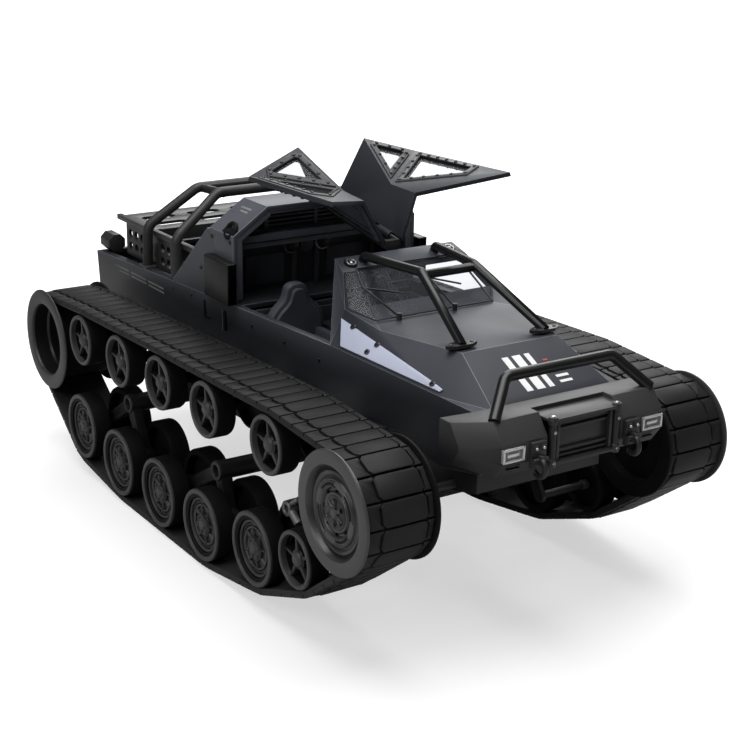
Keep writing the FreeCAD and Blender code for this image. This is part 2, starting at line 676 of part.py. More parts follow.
def prism(points, start, depth, direction):
    base = [Vector(*p) + direction * start for p in points]
    return face(base).extrude(direction * depth)


def make_door(side_name, side, angle):
    """A gull-wing door: roof half, folded side panel, two framed windows and two hinge knuckles."""
    roof, rear_facet, front_facet = door_facets()
    inward = Vector(0, -dim("door_skin"), -dim("door_skin"))
    way = Vector(inward).normalize()
    panel = plate([roof, rear_facet, front_facet], inward)
    depth = inward.Length
    frames, panes, holes = [], [], []
    for outline in door_windows():
        hole = inset(outline, 1.9)
        pane = inset(outline, 1.9 + dim("glass_gap"))
        holes.append(prism(hole, -3, depth + 6, way))
        panes.append(prism(pane, 0.5, dim("glass_thick"), way))
        ring = prism(outline, -dim("frame_rise"), dim("frame_rise"), way)
        frames.append(ring.cut(prism(hole, -3, 6, way)))
    y = dim("hinge_half")
    x0, x1 = HINGE_FRONT[0] + 5, HINGE_REAR[0] - 5
    panel = panel.cut(rod((x0, y, hinge_height(x0)), (x1, y, hinge_height(x1)), dim("knuckle") - 0.2))
    spans = ((33.0, 22.0), (0.0, -11.0))
    for x0, x1 in spans:
        knuckle = rod((x0, y, hinge_height(x0)), (x1, y, hinge_height(x1)), dim("knuckle"))
        panel = panel.fuse(knuckle)
    for x0, x1 in spans:
        bore = rod((x0 + 2, y, hinge_height(x0 + 2)), (x1 - 2, y, hinge_height(x1 - 2)), dim("pin_bore"))
        panel = panel.cut(bore)
    panel = panel.cut(holes).removeSplitter()
    pivot = Vector(HINGE_FRONT[0], y, HINGE_FRONT[1])
    along = Vector(HINGE_FRONT[0] - HINGE_REAR[0], 0, HINGE_FRONT[1] - HINGE_REAR[1])
    if side < 0:
        pivot = flip(pivot)
    opened = Placement(Vector(), Rotation(along, side * angle), pivot)
    for name, shape in (("door", panel), ("window_frames", Part.makeCompound(frames)),
                        ("door_glass", Part.makeCompound(panes))):
        shape = mirrored(shape) if side < 0 else shape
        solid_part(f"{side_name}_{name}", shape, opened)


def make_roof_spine():
    """The bar between header and bulkhead, with both doors' hinge pins on tabs."""
    x0, x1 = 41.0, dim("bulkhead_front") + 0.2
    z0, z1 = hinge_height(x0), hinge_height(x1)
    bar = face([(x0, -2.6, z0 - 4.6), (x1, -2.6, z1 - 4.6), (x1, -2.6, z1 - 2.2), (x0, -2.6, z0 - 2.2)])
    pieces = [bar.extrude(Vector(0, 5.2, 0))]
    y = dim("hinge_half")
    for side in (-1, 1):
        pieces.append(rod((x0 - 0.6, side * y, hinge_height(x0 - 0.6)),
                          (x1 + 0.6, side * y, hinge_height(x1 + 0.6)), dim("pin")))
    for x in (39.0, 17.0, -17.5):
        z = hinge_height(x)
        pieces.append(box(x - 2, x + 2, -y - 0.2, y + 0.2, z - 3.4, z + 0.6))
    solid_part("roof_spine", fused(pieces))


# ---------------------------------------------------------------- fittings

def make_guard():
    """Tube guard over the windscreen: two bent legs, a cross bar and two foot plates."""
    radius = dim("guard_tube")
    path = [(47.5, 22.4, 159.6), (47.5, 22.4, 162.6), (89.9, 16.1, 163.0), (137.0, 25.0, 139.6)]
    leg = tube(path, radius, 2.6)
    cross = rod((90.5, -16.0, 161.6), (90.5, 16.0, 161.6), radius * 0.95)
    half = ((-8.6, 0.8), (-8.6, -0.8), (-4.3, -3.1))
    outline = half + tuple((-u, v) for u, v in reversed(half)) + ((4.3, 3.1), (-4.3, 3.1))
    foot = face([(136.2 + v, 25.0 + u, 138.9) for u, v in outline]).extrude(Vector(0, 0, 1.6))
    solid_part("windscreen_guard", fused([leg, mirrored(leg), cross, foot, mirrored(foot)]))


def make_wipers():
    arms = []
    for low, high, tip in (((83.5, -24.0, 139.6), (66.5, -34.0, 151.6), (72.0, -14.0, 147.6)),
                           ((83.5, 10.0, 139.6), (66.5, 6.0, 151.6), (72.0, 22.0, 147.6))):
        pivot = rod(moved(low, 0, 0, -1.2), moved(low, 0, 0, 2.0), 1.3)
        arms.append(fused([rod(low, high, 0.5), rod(high, tip, 0.5), pivot]))
    solid_part("wipers", Part.makeCompound(arms))


def make_caps():
    """Round slotted caps on the header strip."""
    tilt = Vector(4.4, 0, 11)
    cap = Part.makeCylinder(dim("cap"), 1.3, Vector(48.6, 30.6, 159.8), tilt)
    slot = Part.makeBox(12, 1.2, 2, Vector(42.6, 30.0, 160.6))
    solid_part("header_caps", both(cap.cut(slot)))


def make_side_plates():
    """Pale screwed-on plates over the hood's sides."""
    outline = ((69.8, 138.7), (81.3, 128.6), (146.6, 122.5), (147.2, 123.6), (141.0, 125.0))
    edge = [on_side(x, z) for x, z in outline]
    a, b, c = (Vector(*p) for p in edge[:3])
    out = (c - a).cross(b - a).normalize()
    lifted = [Vector(*p) + out * 0.06 for p in edge]
    solid_part("side_plates", both(face(lifted).extrude(out * 0.9)))


def make_cage():
    radius = dim("cage_tube")
    hoops = []
    for foot, knee, top, height in ((-137.5, -136.0, -130.0, 165.5), (-100.0, -99.0, -104.6, 167.0)):
        ends = [(foot, 55.4, waist(foot) + 0.6), (knee, 55.4, 144.2), (top, 25.0, height)]
        hoops.append(tube(ends + [tuple(flip(p)) for p in reversed(ends)], radius, 9.0))
    link = rod((-130.0, 21.0, 164.6), (-104.6, 21.0, 166.2), radius * 0.85)
    x = -137.5
    base = box(x - 5, x + 5, 52.2, 58.6, waist(x) + 0.3, waist(x) + 2.0)
    solid_part("rear_roll_cage", fused(hoops + [link, mirrored(link), base, mirrored(base)]))


def slot_hole(x, y, length, width, z0, z1):
    """An oblong hole along Y."""
    reach = (length - width) / 2
    middle = box(x - width / 2, x + width / 2, y - reach, y + reach, z0, z1)
    ends = [Part.makeCylinder(width / 2, z1 - z0, Vector(x, y + s * reach, z0)) for s in (-1, 1)]
    return fused([middle] + ends)


def make_rack():
    """Slotted deck over the bed, on perforated side panels."""
    half, thick, z = dim("deck_half"), dim("deck_thick"), 138.0
    deck = box(-187, -142, -half, half, z, z + thick)
    deck = fused([deck, box(-143, -141, -half + 8, half - 8, z - 6, z + thick)])
    slots = [slot_hole(x, y, 22, 8, z - 1, z + thick + 1)
             for x in (-172.0, -155.0) for y in (-31.0, 0.0, 31.0)]
    deck = deck.cut(slots)
    rails = []
    panel = box(-176, -104, half - 3.0, half - 1.0, 118.2, z + 0.4)
    holes = []
    for x in (-170, -162, -154, -126, -118, -110):
        for zz in (124.0, 132.0):
            holes.append(Part.makeCylinder(2.6, 8, Vector(x, half - 6, zz), Vector(0, 1, 0)))
    rails.append(panel.cut(holes))
    rails.append(box(-142, -84, half - 3.0, half, z, z + 3.0))
    shelf = box(-187, -84, half - 3.2, half, z, z + 3.0)
    side = fused(rails + [shelf])
    solid_part("bed_rack", fused([deck, side, mirrored(side)]))


def make_rear_lamps():
    radius, length = dim("lamp_pod"), dim("lamp_pod_length")
    angles = [math.pi * (i + 0.5) / 4 for i in range(8)]
    corners = [(radius * math.cos(a), radius * math.sin(a)) for a in angles]
    pod = face([(-203.5, 51 + u, 121.4 + v) for u, v in corners]).extrude(Vector(length, 0, 0))
    lens = Part.makeCylinder(radius * 0.62, 3, Vector(-205, 51, 121.4), Vector(1, 0, 0))
    solid_part("rear_lamps", both(pod.cut(lens)))


def bumper_outline(y, shift, low, high, lean):
    """The bumper's side outline at y: the flat back, the top, the sloped brow, the face and the chin."""
    back = dim("body_front") + 0.1 - shift
    front = 197.5 - shift - lean
    outline = ((back, low), (back, high), (front - 7, high), (front, high - 9.3),
               (front, low + 7.4), (front - 5.5, low))
    return [Vector(x, y, z) for x, z in outline]


def make_bumper():
    rows = [(-59.5, 8.0, 101.0, 120.0, 7.0), (-47.0, 0.0, 96.6, 122.8, 0.0),
            (47.0, 0.0, 96.6, 122.8, 0.0), (59.5, 8.0, 101.0, 120.0, 7.0)]
    wires = []
    for row in rows:
        points = bumper_outline(*row)
        wires.append(Part.makePolygon(points + points[:1]))
    bar = Part.makeLoft(wires, True, True)
    recess = box(184.5, 200, -21.5, 21.5, 99.0, 124.0)
    lamp = box(193.0, 200, 34.3, 47.3, 104.8, 112.2)
    bar = bar.cut([recess, lamp, mirrored(lamp)])
    solid_part("front_bumper", bar)


def make_head_lamps():
    lens = box(193.2, 198.3, 34.5, 47.1, 105.0, 112.0)
    groove = box(197.8, 199, 35.5, 46.1, 108.2, 108.8)
    solid_part("head_lamps", both(lens.cut(groove)))


def make_winch():
    """Ribbed winch cover in the bumper's recess, with a vertical roller at each end."""
    block = box(184.7, 195.5, -15.5, 15.5, 99.2, 121.0)
    ribs = [box(194.5, 197, -15.0, 15.0, z, z + 1.2) for z in (102.0, 105.0, 113.6, 116.6)]
    block = block.cut(ribs)
    frame_plates = [box(184.7, 199.6, -21.2, 21.2, z, z + 1.6) for z in (99.1, 119.6)]
    rollers = [rod((197.6, s * 18.6, 97.6), (197.6, s * 18.6, 122.6), dim("roller")) for s in (-1, 1)]
    solid_part("winch", fused([block] + frame_plates + rollers))


def make_bull_bar():
    path = [(189.6, 46.0, 122.4), (177.8, 31.3, 137.4)]
    path += [tuple(flip(p)) for p in reversed(path)]
    solid_part("bull_bar", tube(path, dim("bull_tube"), 6.0))


def make_shackles():
    """Tow shackles: a two-bolt bracket and a round link on each side of the bumper."""
    y = 27.6
    bracket = box(197.5, 199.3, y - 4, y + 4, 100.5, 112.5)
    bolts = [rod((199, y + s * 2.2, 110), (200.4, y + s * 2.2, 110), 1.2) for s in (-1, 1)]
    lug = box(199, 202.5, y - 1.0, y + 1.0, 102.0, 106.5)
    centre = Vector(200.1, y, 100.6)
    ring = Part.makeTorus(dim("shackle_ring"), dim("shackle_wire"), centre, Vector(0, 1, 0))
    ring = ring.cut(box(190, 197.6, y - 5, y + 5, 90, 110))
    solid_part("shackles", both(fused([bracket, lug, ring] + bolts)))


def make_eyes():
    """Lifting eyes on the bulkhead's shoulders."""
    loop = Part.makeTorus(dim("eye_loop"), dim("eye_wire"), Vector(-30.0, 56.6, 163.6), Vector(0, 1, 0.6))
    foot = box(-36.0, -24.0, 54.8, 58.6, 161.4, 164.0)
    foot.rotate(Vector(-30, 56.6, 163.2), Vector(1, 0, 0), -36)
    solid_part("lifting_eyes", both(fused([loop, foot])))


def make_power():
    """Drive motors with their gear cases, and the battery, inside the tub."""
    radius, length = dim("motor"), dim("motor_length")
    motors = []
    for side in (-1, 1):
        can = rod((94.0, side * 1.5, 64.0), (94.0, side * (1.5 + length), 64.0), radius)
        case = box(84.0, 120.0, min(side * 24.0, side * 34.3), max(side * 24.0, side * 34.3), 70.0, 92.0)
        motors.append(can.fuse(case).removeSplitter())
    solid_part("drive_motors", Part.makeCompound(motors))
    solid_part("battery_pack", box(-110.0, -20.0, -22.0, 22.0, 48.6, 74.0))


def check_and_export():
    doc.recompute()
    for obj in doc.Objects:
        if "Invalid" in obj.State or "Error" in obj.State:
            raise RuntimeError(f"{obj.Label} failed to recompute: {obj.State}")
    os.makedirs("parts", exist_ok=True)
    for obj in parts:
        if obj.Shape.isNull() or not obj.Shape.isValid() or not obj.Shape.Solids:
            raise RuntimeError(f"{obj.Label} has no valid solid")
        obj.Shape.exportStep(f"parts/{obj.Label}.step")
    print(len(parts), "sub-parts written")


make_wheels()
make_tracks()
make_suspension()
make_axles()
make_tub()
make_body_shell()
make_cowl()
make_screen()
make_bulkhead()
make_scoops()
make_seats_and_cabin()
for name, side in (("right", -1), ("left", 1)):
    make_door(name, side, dim(f"{name}_open"))
make_roof_spine()
make_guard()
make_wipers()
make_caps()
make_side_plates()
make_cage()
make_rack()
make_rear_lamps()
make_bumper()
make_head_lamps()
make_winch()
make_bull_bar()
make_shackles()
make_eyes()
make_power()
check_and_export()
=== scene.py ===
import json
from math import acos, atan2, copysign, cos, hypot, pi, radians, sin
import bmesh
import bpy
from mathutils import Matrix, Vector


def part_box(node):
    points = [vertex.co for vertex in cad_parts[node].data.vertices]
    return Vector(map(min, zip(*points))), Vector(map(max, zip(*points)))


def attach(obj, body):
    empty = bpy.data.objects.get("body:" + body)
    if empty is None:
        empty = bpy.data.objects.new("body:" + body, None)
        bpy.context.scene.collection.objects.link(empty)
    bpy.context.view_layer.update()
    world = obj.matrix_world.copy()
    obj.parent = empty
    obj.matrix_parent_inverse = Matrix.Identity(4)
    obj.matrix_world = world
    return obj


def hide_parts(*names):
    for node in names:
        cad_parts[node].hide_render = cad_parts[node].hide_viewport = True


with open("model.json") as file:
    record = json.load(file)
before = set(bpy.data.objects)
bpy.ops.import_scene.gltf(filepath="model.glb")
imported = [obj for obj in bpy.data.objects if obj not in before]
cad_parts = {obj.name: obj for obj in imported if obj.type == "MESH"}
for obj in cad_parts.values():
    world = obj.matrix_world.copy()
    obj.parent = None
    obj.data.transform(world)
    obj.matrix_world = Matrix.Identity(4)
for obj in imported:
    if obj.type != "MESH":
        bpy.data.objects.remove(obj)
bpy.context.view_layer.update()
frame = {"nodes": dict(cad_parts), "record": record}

# Tracked vehicle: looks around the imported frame. Lengths in the helpers are in millimetres.
MM = 0.001
SIDES = (("right", -1), ("left", 1))


# ------ materials

def feed(tree, made, inputs):
    """Gives a shader node its inputs, each a plain value or another node's output."""
    for key, value in inputs.items():
        if isinstance(value, bpy.types.NodeSocket):
            tree.links.new(value, made.inputs[key])
        else:
            made.inputs[key].default_value = value


def node(tree, kind, inputs, **settings):
    made = tree.nodes.new("ShaderNode" + kind)
    for key, value in settings.items():
        setattr(made, key, value)
    feed(tree, made, inputs)
    return made


def noise(tree, coords, scale, detail=4.0, rough=0.55):
    made = node(tree, "TexNoise", {"Scale": scale, "Detail": detail, "Roughness": rough, "Vector": coords})
    return made.outputs["Fac"]


def ramp(tree, value, stops):
    made = node(tree, "ValToRGB", {"Fac": value})
    bar = made.color_ramp
    while len(bar.elements) < len(stops):
        bar.elements.new(0.5)
    for element, (place, colour) in zip(bar.elements, stops):
        element.position = place
        element.color = (*colour, 1.0)
    return made.outputs["Color"]


def new_material(name):
    made = bpy.data.materials.new(name)
    made.use_nodes = True
    tree = made.node_tree
    return made, tree, tree.nodes["Principled BSDF"], node(tree, "TexCoord", {}).outputs["Object"]


def surface(name, dark, light, rough, grain=0.00002, fine=1500, metallic=0.0, edge_highlight=None, coat=0.0,
            broad=28.0, spec=0.5, painted_shading=None):
    """Moulded or painted surface: two tints in soft clouds, uneven gloss, and a fine grain in the bump.

    Edge highlight is a lighter tint on outer edges, a painted highlight. Painted shading is (low, high,
    share): the tint is scaled by the share up to the low height, and by 1 from the high one on; a share
    under 1 paints shade low on the piece, and a share over 1 paints light there.
    """
    made, tree, shader, coords = new_material(name)
    colour = ramp(tree, noise(tree, coords, broad), ((0.32, dark), (0.68, light)))
    # painted highlight: a lighter tint on convex edges, found by pointiness
    if edge_highlight:
        point = node(tree, "NewGeometry", {}).outputs["Pointiness"]
        edge = ramp(tree, point, ((0.5, (0.0, 0.0, 0.0)), (0.58, (1.0, 1.0, 1.0))))
        mix = node(tree, "Mix", {}, data_type="RGBA")
        feed(tree, mix, {"Factor": edge, "A": colour, "B": (*edge_highlight, 1.0)})
        colour = mix.outputs["Result"]
    # painted shading by height: the tint is scaled from the share at the low height up to 1 at the high one
    if painted_shading:
        low, high, share = painted_shading
        height = node(tree, "SeparateXYZ", {0: coords}).outputs["Z"]
        fade = node(tree, "MapRange", {"Value": height, "From Min": low * MM, "From Max": high * MM,
                                       "To Min": share, "To Max": 1.0})
        dim = node(tree, "VectorMath", {0: colour, "Scale": fade.outputs[0]}, operation="SCALE")
        colour = dim.outputs[0]
    speck = noise(tree, coords, fine, 3.0, 0.6)
    half = node(tree, "Math", {0: noise(tree, coords, broad * 2.3), 1: 0.5}, operation="MULTIPLY")
    blend = node(tree, "Math", {0: speck, 1: 0.5, 2: half.outputs[0]}, operation="MULTIPLY_ADD")
    gloss = node(tree, "MapRange", {"Value": blend.outputs[0], "To Min": max(rough - 0.07, 0.02),
                                    "To Max": rough + 0.09})
    bump = node(tree, "Bump", {"Strength": 0.6, "Distance": grain, "Height": speck})
    feed(tree, shader, {"Base Color": colour, "Roughness": gloss.outputs[0], "Normal": bump.outputs[0],
                        "Metallic": metallic, "Specular IOR Level": spec, "Coat Weight": coat,
                        "Coat Roughness": 0.25})
    return made


def clear(name, tint, rough, scale):
    """Thin clear plastic: a faintly clouded film that lets light through and keeps a soft sheen."""
    made, tree, shader, coords = new_material(name)
    cloud = noise(tree, coords, scale)
    film = ramp(tree, cloud, ((0.3, (0.05, 0.052, 0.058)), (0.7, (0.08, 0.083, 0.09))))
    gloss = node(tree, "MapRange", {"Value": cloud, "To Min": rough, "To Max": rough * 2.2})
    feed(tree, shader, {"Base Color": film, "Roughness": gloss.outputs[0]})
    dimmed = tuple(0.95 * c for c in tint)
    passed = node(tree, "BsdfTransparent", {"Color": ramp(tree, cloud, ((0.3, dimmed), (0.7, tint)))})
    in_shadow = node(tree, "LightPath", {}).outputs["Is Shadow Ray"]
    share = node(tree, "MapRange", {"Value": in_shadow, "To Min": 0.82, "To Max": 1.0})
    mix = node(tree, "MixShader", {"Fac": share.outputs[0], 1: shader.outputs[0], 2: passed.outputs[0]})
    feed(tree, tree.nodes["Material Output"], {"Surface": mix.outputs[0]})
    return made


# Where a tint for the edges is given, outer edges get it as a painted highlight. Where heights and a share
# are given, the tint changes with height as painted shading: the body paint, hood, doors and bumper get
# painted shade low down, and the belts get painted light low down.
PAINT = surface("slate_paint", (0.046, 0.049, 0.058), (0.056, 0.06, 0.07), 0.42, 0.000012, 2200,
                edge_highlight=(0.1, 0.107, 0.125), spec=0.3, painted_shading=(112, 152, 0.3))
HOOD = surface("hood_slate_paint", (0.042, 0.045, 0.055), (0.052, 0.056, 0.068), 0.4, 0.000012, 2200,
               spec=0.22, painted_shading=(140, 153, 0.82))
# A lighter slate for the bevelled edges of the body, cowl, bulkhead and doors: a painted highlight.
EDGE_HIGHLIGHT = surface("painted_highlight_edge", (0.12, 0.128, 0.15), (0.17, 0.18, 0.21), 0.36, 0.00001, 2200)
# The doors' copy of the slate paint is made darker than the body's, a painted shade.
DOOR = surface("door_shaded_slate_paint", (0.03, 0.032, 0.039), (0.038, 0.0405, 0.048), 0.42, 0.000012, 2200,
               spec=0.25, painted_shading=(160, 205, 0.55))
LINING = surface("door_lining", (0.015, 0.016, 0.019), (0.021, 0.0225, 0.026), 0.42, 0.000012, 2200,
                 edge_highlight=(0.08, 0.085, 0.1), spec=0.3)
PALE = surface("pale_slate_paint", (0.075, 0.08, 0.1), (0.095, 0.102, 0.125), 0.4, 0.000012, 2200)
BLACK = surface("satin_black_plastic", (0.011, 0.011, 0.0112), (0.016, 0.016, 0.0162), 0.38, 0.00003, 1700,
                edge_highlight=(0.034, 0.034, 0.035), spec=0.45)
FRAME = surface("window_frame_plastic", (0.01, 0.0102, 0.011), (0.016, 0.0163, 0.0175), 0.42, fine=1700,
                edge_highlight=(0.045, 0.045, 0.047), spec=0.4)
BUMPER = surface("bumper_black_plastic", (0.019, 0.019, 0.0193), (0.027, 0.027, 0.0274), 0.44, 0.00003,
                 1700, edge_highlight=(0.055, 0.055, 0.056), spec=0.4, painted_shading=(103, 113, 0.4))
TUBE = surface("gloss_black_tube", (0.0065, 0.0065, 0.0066), (0.01, 0.01, 0.0102), 0.3, fine=1800)
DARK = surface("dark_hull_plastic", (0.009, 0.009, 0.0095), (0.015, 0.015, 0.0155), 0.5, 0.00004, 1400)
BELT = surface("moulded_belt_rubber", (0.0055, 0.0055, 0.0055), (0.009, 0.009, 0.0089), 0.5, 0.00006, 1300,
               edge_highlight=(0.017, 0.017, 0.017), broad=60, spec=0.16, painted_shading=(62, 98, 2.2))
TYRE = surface("black_tyre_rubber", (0.005, 0.005, 0.0051), (0.009, 0.009, 0.0091), 0.6, 0.00004, spec=0.14)
# The wheels are drawn as lit and shaded copies of one plastic: RIM, RIB and WHEEL are lighter for the outward
# rims, ribs, bolts and caps, a painted highlight, and RIB is also used for the ribs on the bogie arms; WEB is
# near-black for the dished webs and spokes, painted shade in the recesses.
RIM = surface("painted_highlight_rim_plastic", (0.042, 0.042, 0.0428), (0.057, 0.057, 0.058), 0.44, fine=1800)
RIB = surface("painted_highlight_rib_plastic", (0.028, 0.028, 0.0283), (0.04, 0.04, 0.0405), 0.45, 0.00003)
WEB = surface("dished_web_plastic", (0.008, 0.008, 0.0081), (0.012, 0.012, 0.0121), 0.34, fine=1800, spec=0.4)
WHEEL = surface("wheel_face_plastic", (0.026, 0.026, 0.0262), (0.035, 0.035, 0.0353), 0.34, fine=1800,
                edge_highlight=(0.055, 0.055, 0.0555), spec=0.6)
STEEL = surface("bright_steel", (0.42, 0.42, 0.43), (0.62, 0.62, 0.63), 0.26, 0.00001, 2600, metallic=1)
SCREW = surface("black_oxide_screw", (0.035, 0.035, 0.038), (0.07, 0.07, 0.077), 0.32, 0.00001, 2500,
                metallic=0.8)
CHROME = surface("lamp_rim_chrome", (0.62, 0.62, 0.63), (0.82, 0.82, 0.83), 0.22, 0.00001, 2500,
                 metallic=0.6)
PLATE = surface("pale_side_plate", (0.41, 0.44, 0.55), (0.47, 0.5, 0.62), 0.38, 0.000012, 2000)
WHITE = surface("white_marking_paint", (0.66, 0.66, 0.66), (0.8, 0.8, 0.8), 0.5, 0.00001)
STRIPE = surface("grey_marking_paint", (0.16, 0.16, 0.165), (0.22, 0.22, 0.225), 0.5, 0.00001)
RED = surface("red_marking_paint", (0.38, 0.03, 0.03), (0.5, 0.05, 0.05), 0.5, 0.00001)
ALLOY = surface("cast_alloy", (0.2, 0.2, 0.195), (0.3, 0.3, 0.29), 0.42, 0.00003, 1200, metallic=0.7)
DASH = surface("cabin_floor_moulding", (0.016, 0.017, 0.021), (0.026, 0.0275, 0.034), 0.55, 0.00004)
CABIN = surface("cabin_moulding", (0.045, 0.048, 0.06), (0.07, 0.074, 0.092), 0.55, 0.00004)
MOTOR = surface("motor_can", (0.38, 0.38, 0.38), (0.5, 0.5, 0.5), 0.32, 0.00001, 2500, metallic=1)
WRAP = surface("battery_shrink_wrap", (0.03, 0.06, 0.16), (0.05, 0.09, 0.22), 0.28, 0.00001, 1200)
LENS = surface("lamp_reflector", (0.16, 0.165, 0.17), (0.3, 0.305, 0.31), 0.22, 0.00003, 900, coat=0.6)
GLASS = clear("clear_screen", (0.93, 0.94, 0.96), 0.1, 35)


# ------ mesh helpers

def to_mesh(bm, name):
    mesh = bpy.data.meshes.new(name)
    bm.to_mesh(mesh)
    bm.free()
    return mesh


def new_meshes(count):
    return [bmesh.new() for _ in range(count)]


def linked(name, data):
    """A new object in the scene."""
    made = bpy.data.objects.new(name, data)
    bpy.context.scene.collection.objects.link(made)
    return made


def place(mesh, name, material, body, slot, replaced, smooth=32.0, edge=None):
    """Turns a mesh into a piece that rides on a body."""
    mesh.polygons.foreach_set("use_smooth", [True] * len(mesh.polygons))
    mesh.set_sharp_from_angle(angle=radians(smooth))
    mesh.materials.append(material)
    if edge:
        mesh.materials.append(edge)
    piece = linked(name, mesh)
    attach(piece, body)
    if replaced:
        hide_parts(*replaced)


def finish(bm, name, material, slot, *replaced, body="root", smooth=32.0):
    """Turns a mesh in millimetres into a piece, which stands for the CAD nodes that it replaces."""
    bmesh.ops.scale(bm, vec=(MM, MM, MM), verts=bm.verts)
    bmesh.ops.recalc_face_normals(bm, faces=bm.faces)
    place(to_mesh(bm, name), name, material, body, slot, replaced, smooth)


def refined(label, name, material, bevel, body="root", edge=None):
    """A copy of a CAD node with rounded edges, which stands for it; the edges may have their own lighter
    finish, a painted highlight.
    """
    slots = {s["node"]: s["material_slot"] for s in frame["record"]["subparts"]}
    bm = bmesh.new()
    bm.from_mesh(frame["nodes"][label].data)
    bmesh.ops.remove_doubles(bm, verts=bm.verts, dist=2e-6)
    bmesh.ops.dissolve_limit(bm, angle_limit=radians(0.8), verts=bm.verts, edges=bm.edges)
    if bevel:
        limit = radians(12.0 if edge else 25.0)
        sharp = [e for e in bm.edges if len(e.link_faces) == 2 and e.calc_face_angle(0.0) > limit]
        bmesh.ops.bevel(bm, geom=sharp, offset=bevel * MM, segments=2, profile=0.6, affect="EDGES",
                        clamp_overlap=True, material=1 if edge else -1)
    place(to_mesh(bm, name), name, material, body, slots[label], (label,), edge=edge)


def add_rings(bm, rings, closed=False):
    """Joins rings of points into a skin, which comes back to its start or else has capped ends."""
    made = [[bm.verts.new(p) for p in ring] for ring in rings]
    for here, there in zip(made, made[1:] + (made[:1] if closed else [])):
        for i in range(len(here)):
            j = (i + 1) % len(here)
            bm.faces.new((here[i], here[j], there[j], there[i]))
    if not closed:
        bm.faces.new(made[0][::-1])
        bm.faces.new(made[-1])


def add_prism(bm, outline, push):
    """A closed block: the outline, pushed along a vector."""
    add_rings(bm, [outline, [p + push for p in outline]])


def add_box(bm, low, high, soft=0.25):
    """A block between two corners, with edges rounded by the soft distance."""
    (x0, y0, z0), (x1, y1, z1) = low, high
    verts = bmesh.ops.create_cube(bm, size=1.0)["verts"]
    for v in verts:
        v.co = Vector(((x0 + x1) / 2 + v.co.x * (x1 - x0), (y0 + y1) / 2 + v.co.y * (y1 - y0),
                       (z0 + z1) / 2 + v.co.z * (z1 - z0)))
    edges = {e for v in verts for e in v.link_edges}
    bmesh.ops.bevel(bm, geom=list(edges), offset=soft, segments=2, profile=0.6, affect="EDGES")


def sided_boxes(bm, side, *rows):
    """Blocks on one side, each as (x pair, distances from the centre plane, z pair, soft distance)."""
    for (x0, x1), y, (z0, z1), soft in rows:
        low, high = sorted((side * y[0], side * y[1]))
        add_box(bm, (x0, low, z0), (x1, high, z1), soft)


def basis(axis):
    """The axis at length one, and two directions across it."""
    axis = Vector(axis).normalized()
    side = axis.cross(Vector((0, 0, 1)) if abs(axis.z) < 0.9 else Vector((1, 0, 0))).normalized()
    return axis, side, axis.cross(side)


def turns(count, phase=0.0):
    """Angles spread evenly round a circle."""
    return [2 * pi * i / count + phase for i in range(count)]


def spread(axis, steps):
    """The axis at length one, and directions across it that go once round it."""
    axis, side, up = basis(axis)
    return axis, [side * cos(a) + up * sin(a) for a in turns(steps)]


def add_lathe(bm, centre, axis, profile, steps):
    """A closed solid of revolution; the profile is a loop of (radius, distance along the axis)."""
    axis, around = spread(axis, steps)
    centre = Vector(centre)
    add_rings(bm, [[centre + out * r + axis * d for r, d in profile] for out in around], closed=True)


def add_stack(bm, centre, axis, levels, steps):
    """Levels of (radius, distance along the axis), joined and closed at both ends."""
    axis, around = spread(axis, steps)
    centre = Vector(centre)
    add_rings(bm, [[centre + out * r + axis * d for out in around] for r, d in levels])


def add_button(bm, centre, axis, radius, height, steps, crown=0.4, sink=0.6):
    """A round head with a crowned top."""
    add_stack(bm, centre, axis, ((radius, -sink), (radius, height * (1 - crown)),
                                 (radius * 0.8, height * (1 - crown * 0.3)), (radius * 0.4, height)), steps)


def add_hex(bm, centre, axis, radius, height):
    """A hexagon bolt head with a chamfered top and a washer under it."""
    add_button(bm, centre, axis, radius * 1.35, height * 0.25, 18)
    add_stack(bm, centre, axis, ((radius, -0.3), (radius, height * 0.8), (radius * 0.82, height)), 6)


def add_screw(bm, centre, axis, radius, height):
    """A pan-head screw with a socket."""
    add_lathe(bm, centre, axis, ((0.01, -0.5), (radius, -0.5), (radius, height * 0.55),
                                 (radius * 0.82, height * 0.92), (radius * 0.5, height),
                                 (radius * 0.42, height * 0.45), (0.01, height * 0.4)), 18)


def add_bar(bm, points, radius, steps=12):
    """A round bar through points, mitred at its corners."""
    points = [Vector(p) for p in points]
    rings = []
    for i, p in enumerate(points):
        before = (p - points[i - 1]).normalized() if i else (points[1] - p).normalized()
        after = (points[i + 1] - p).normalized() if i + 1 < len(points) else before
        _, around = spread((before + after).normalized(), steps)
        rings.append([p + out * radius for out in around])
    add_rings(bm, rings)


# ------ wheels

WHEELS = (["rear_idler", "drive_sprocket", "front_small_wheel"] + [f"top_roller_{i}" for i in range(1, 6)]
          + [f"road_wheel_{i}" for i in range(1, 6)])
FACE = 107.9  # distance of the wheels' outer faces from the centre plane


def wheel_centre(side_name, name):
    low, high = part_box(f"{side_name}_{name}")
    return (low.x + high.x) / 2 / MM, (low.z + high.z) / 2 / MM


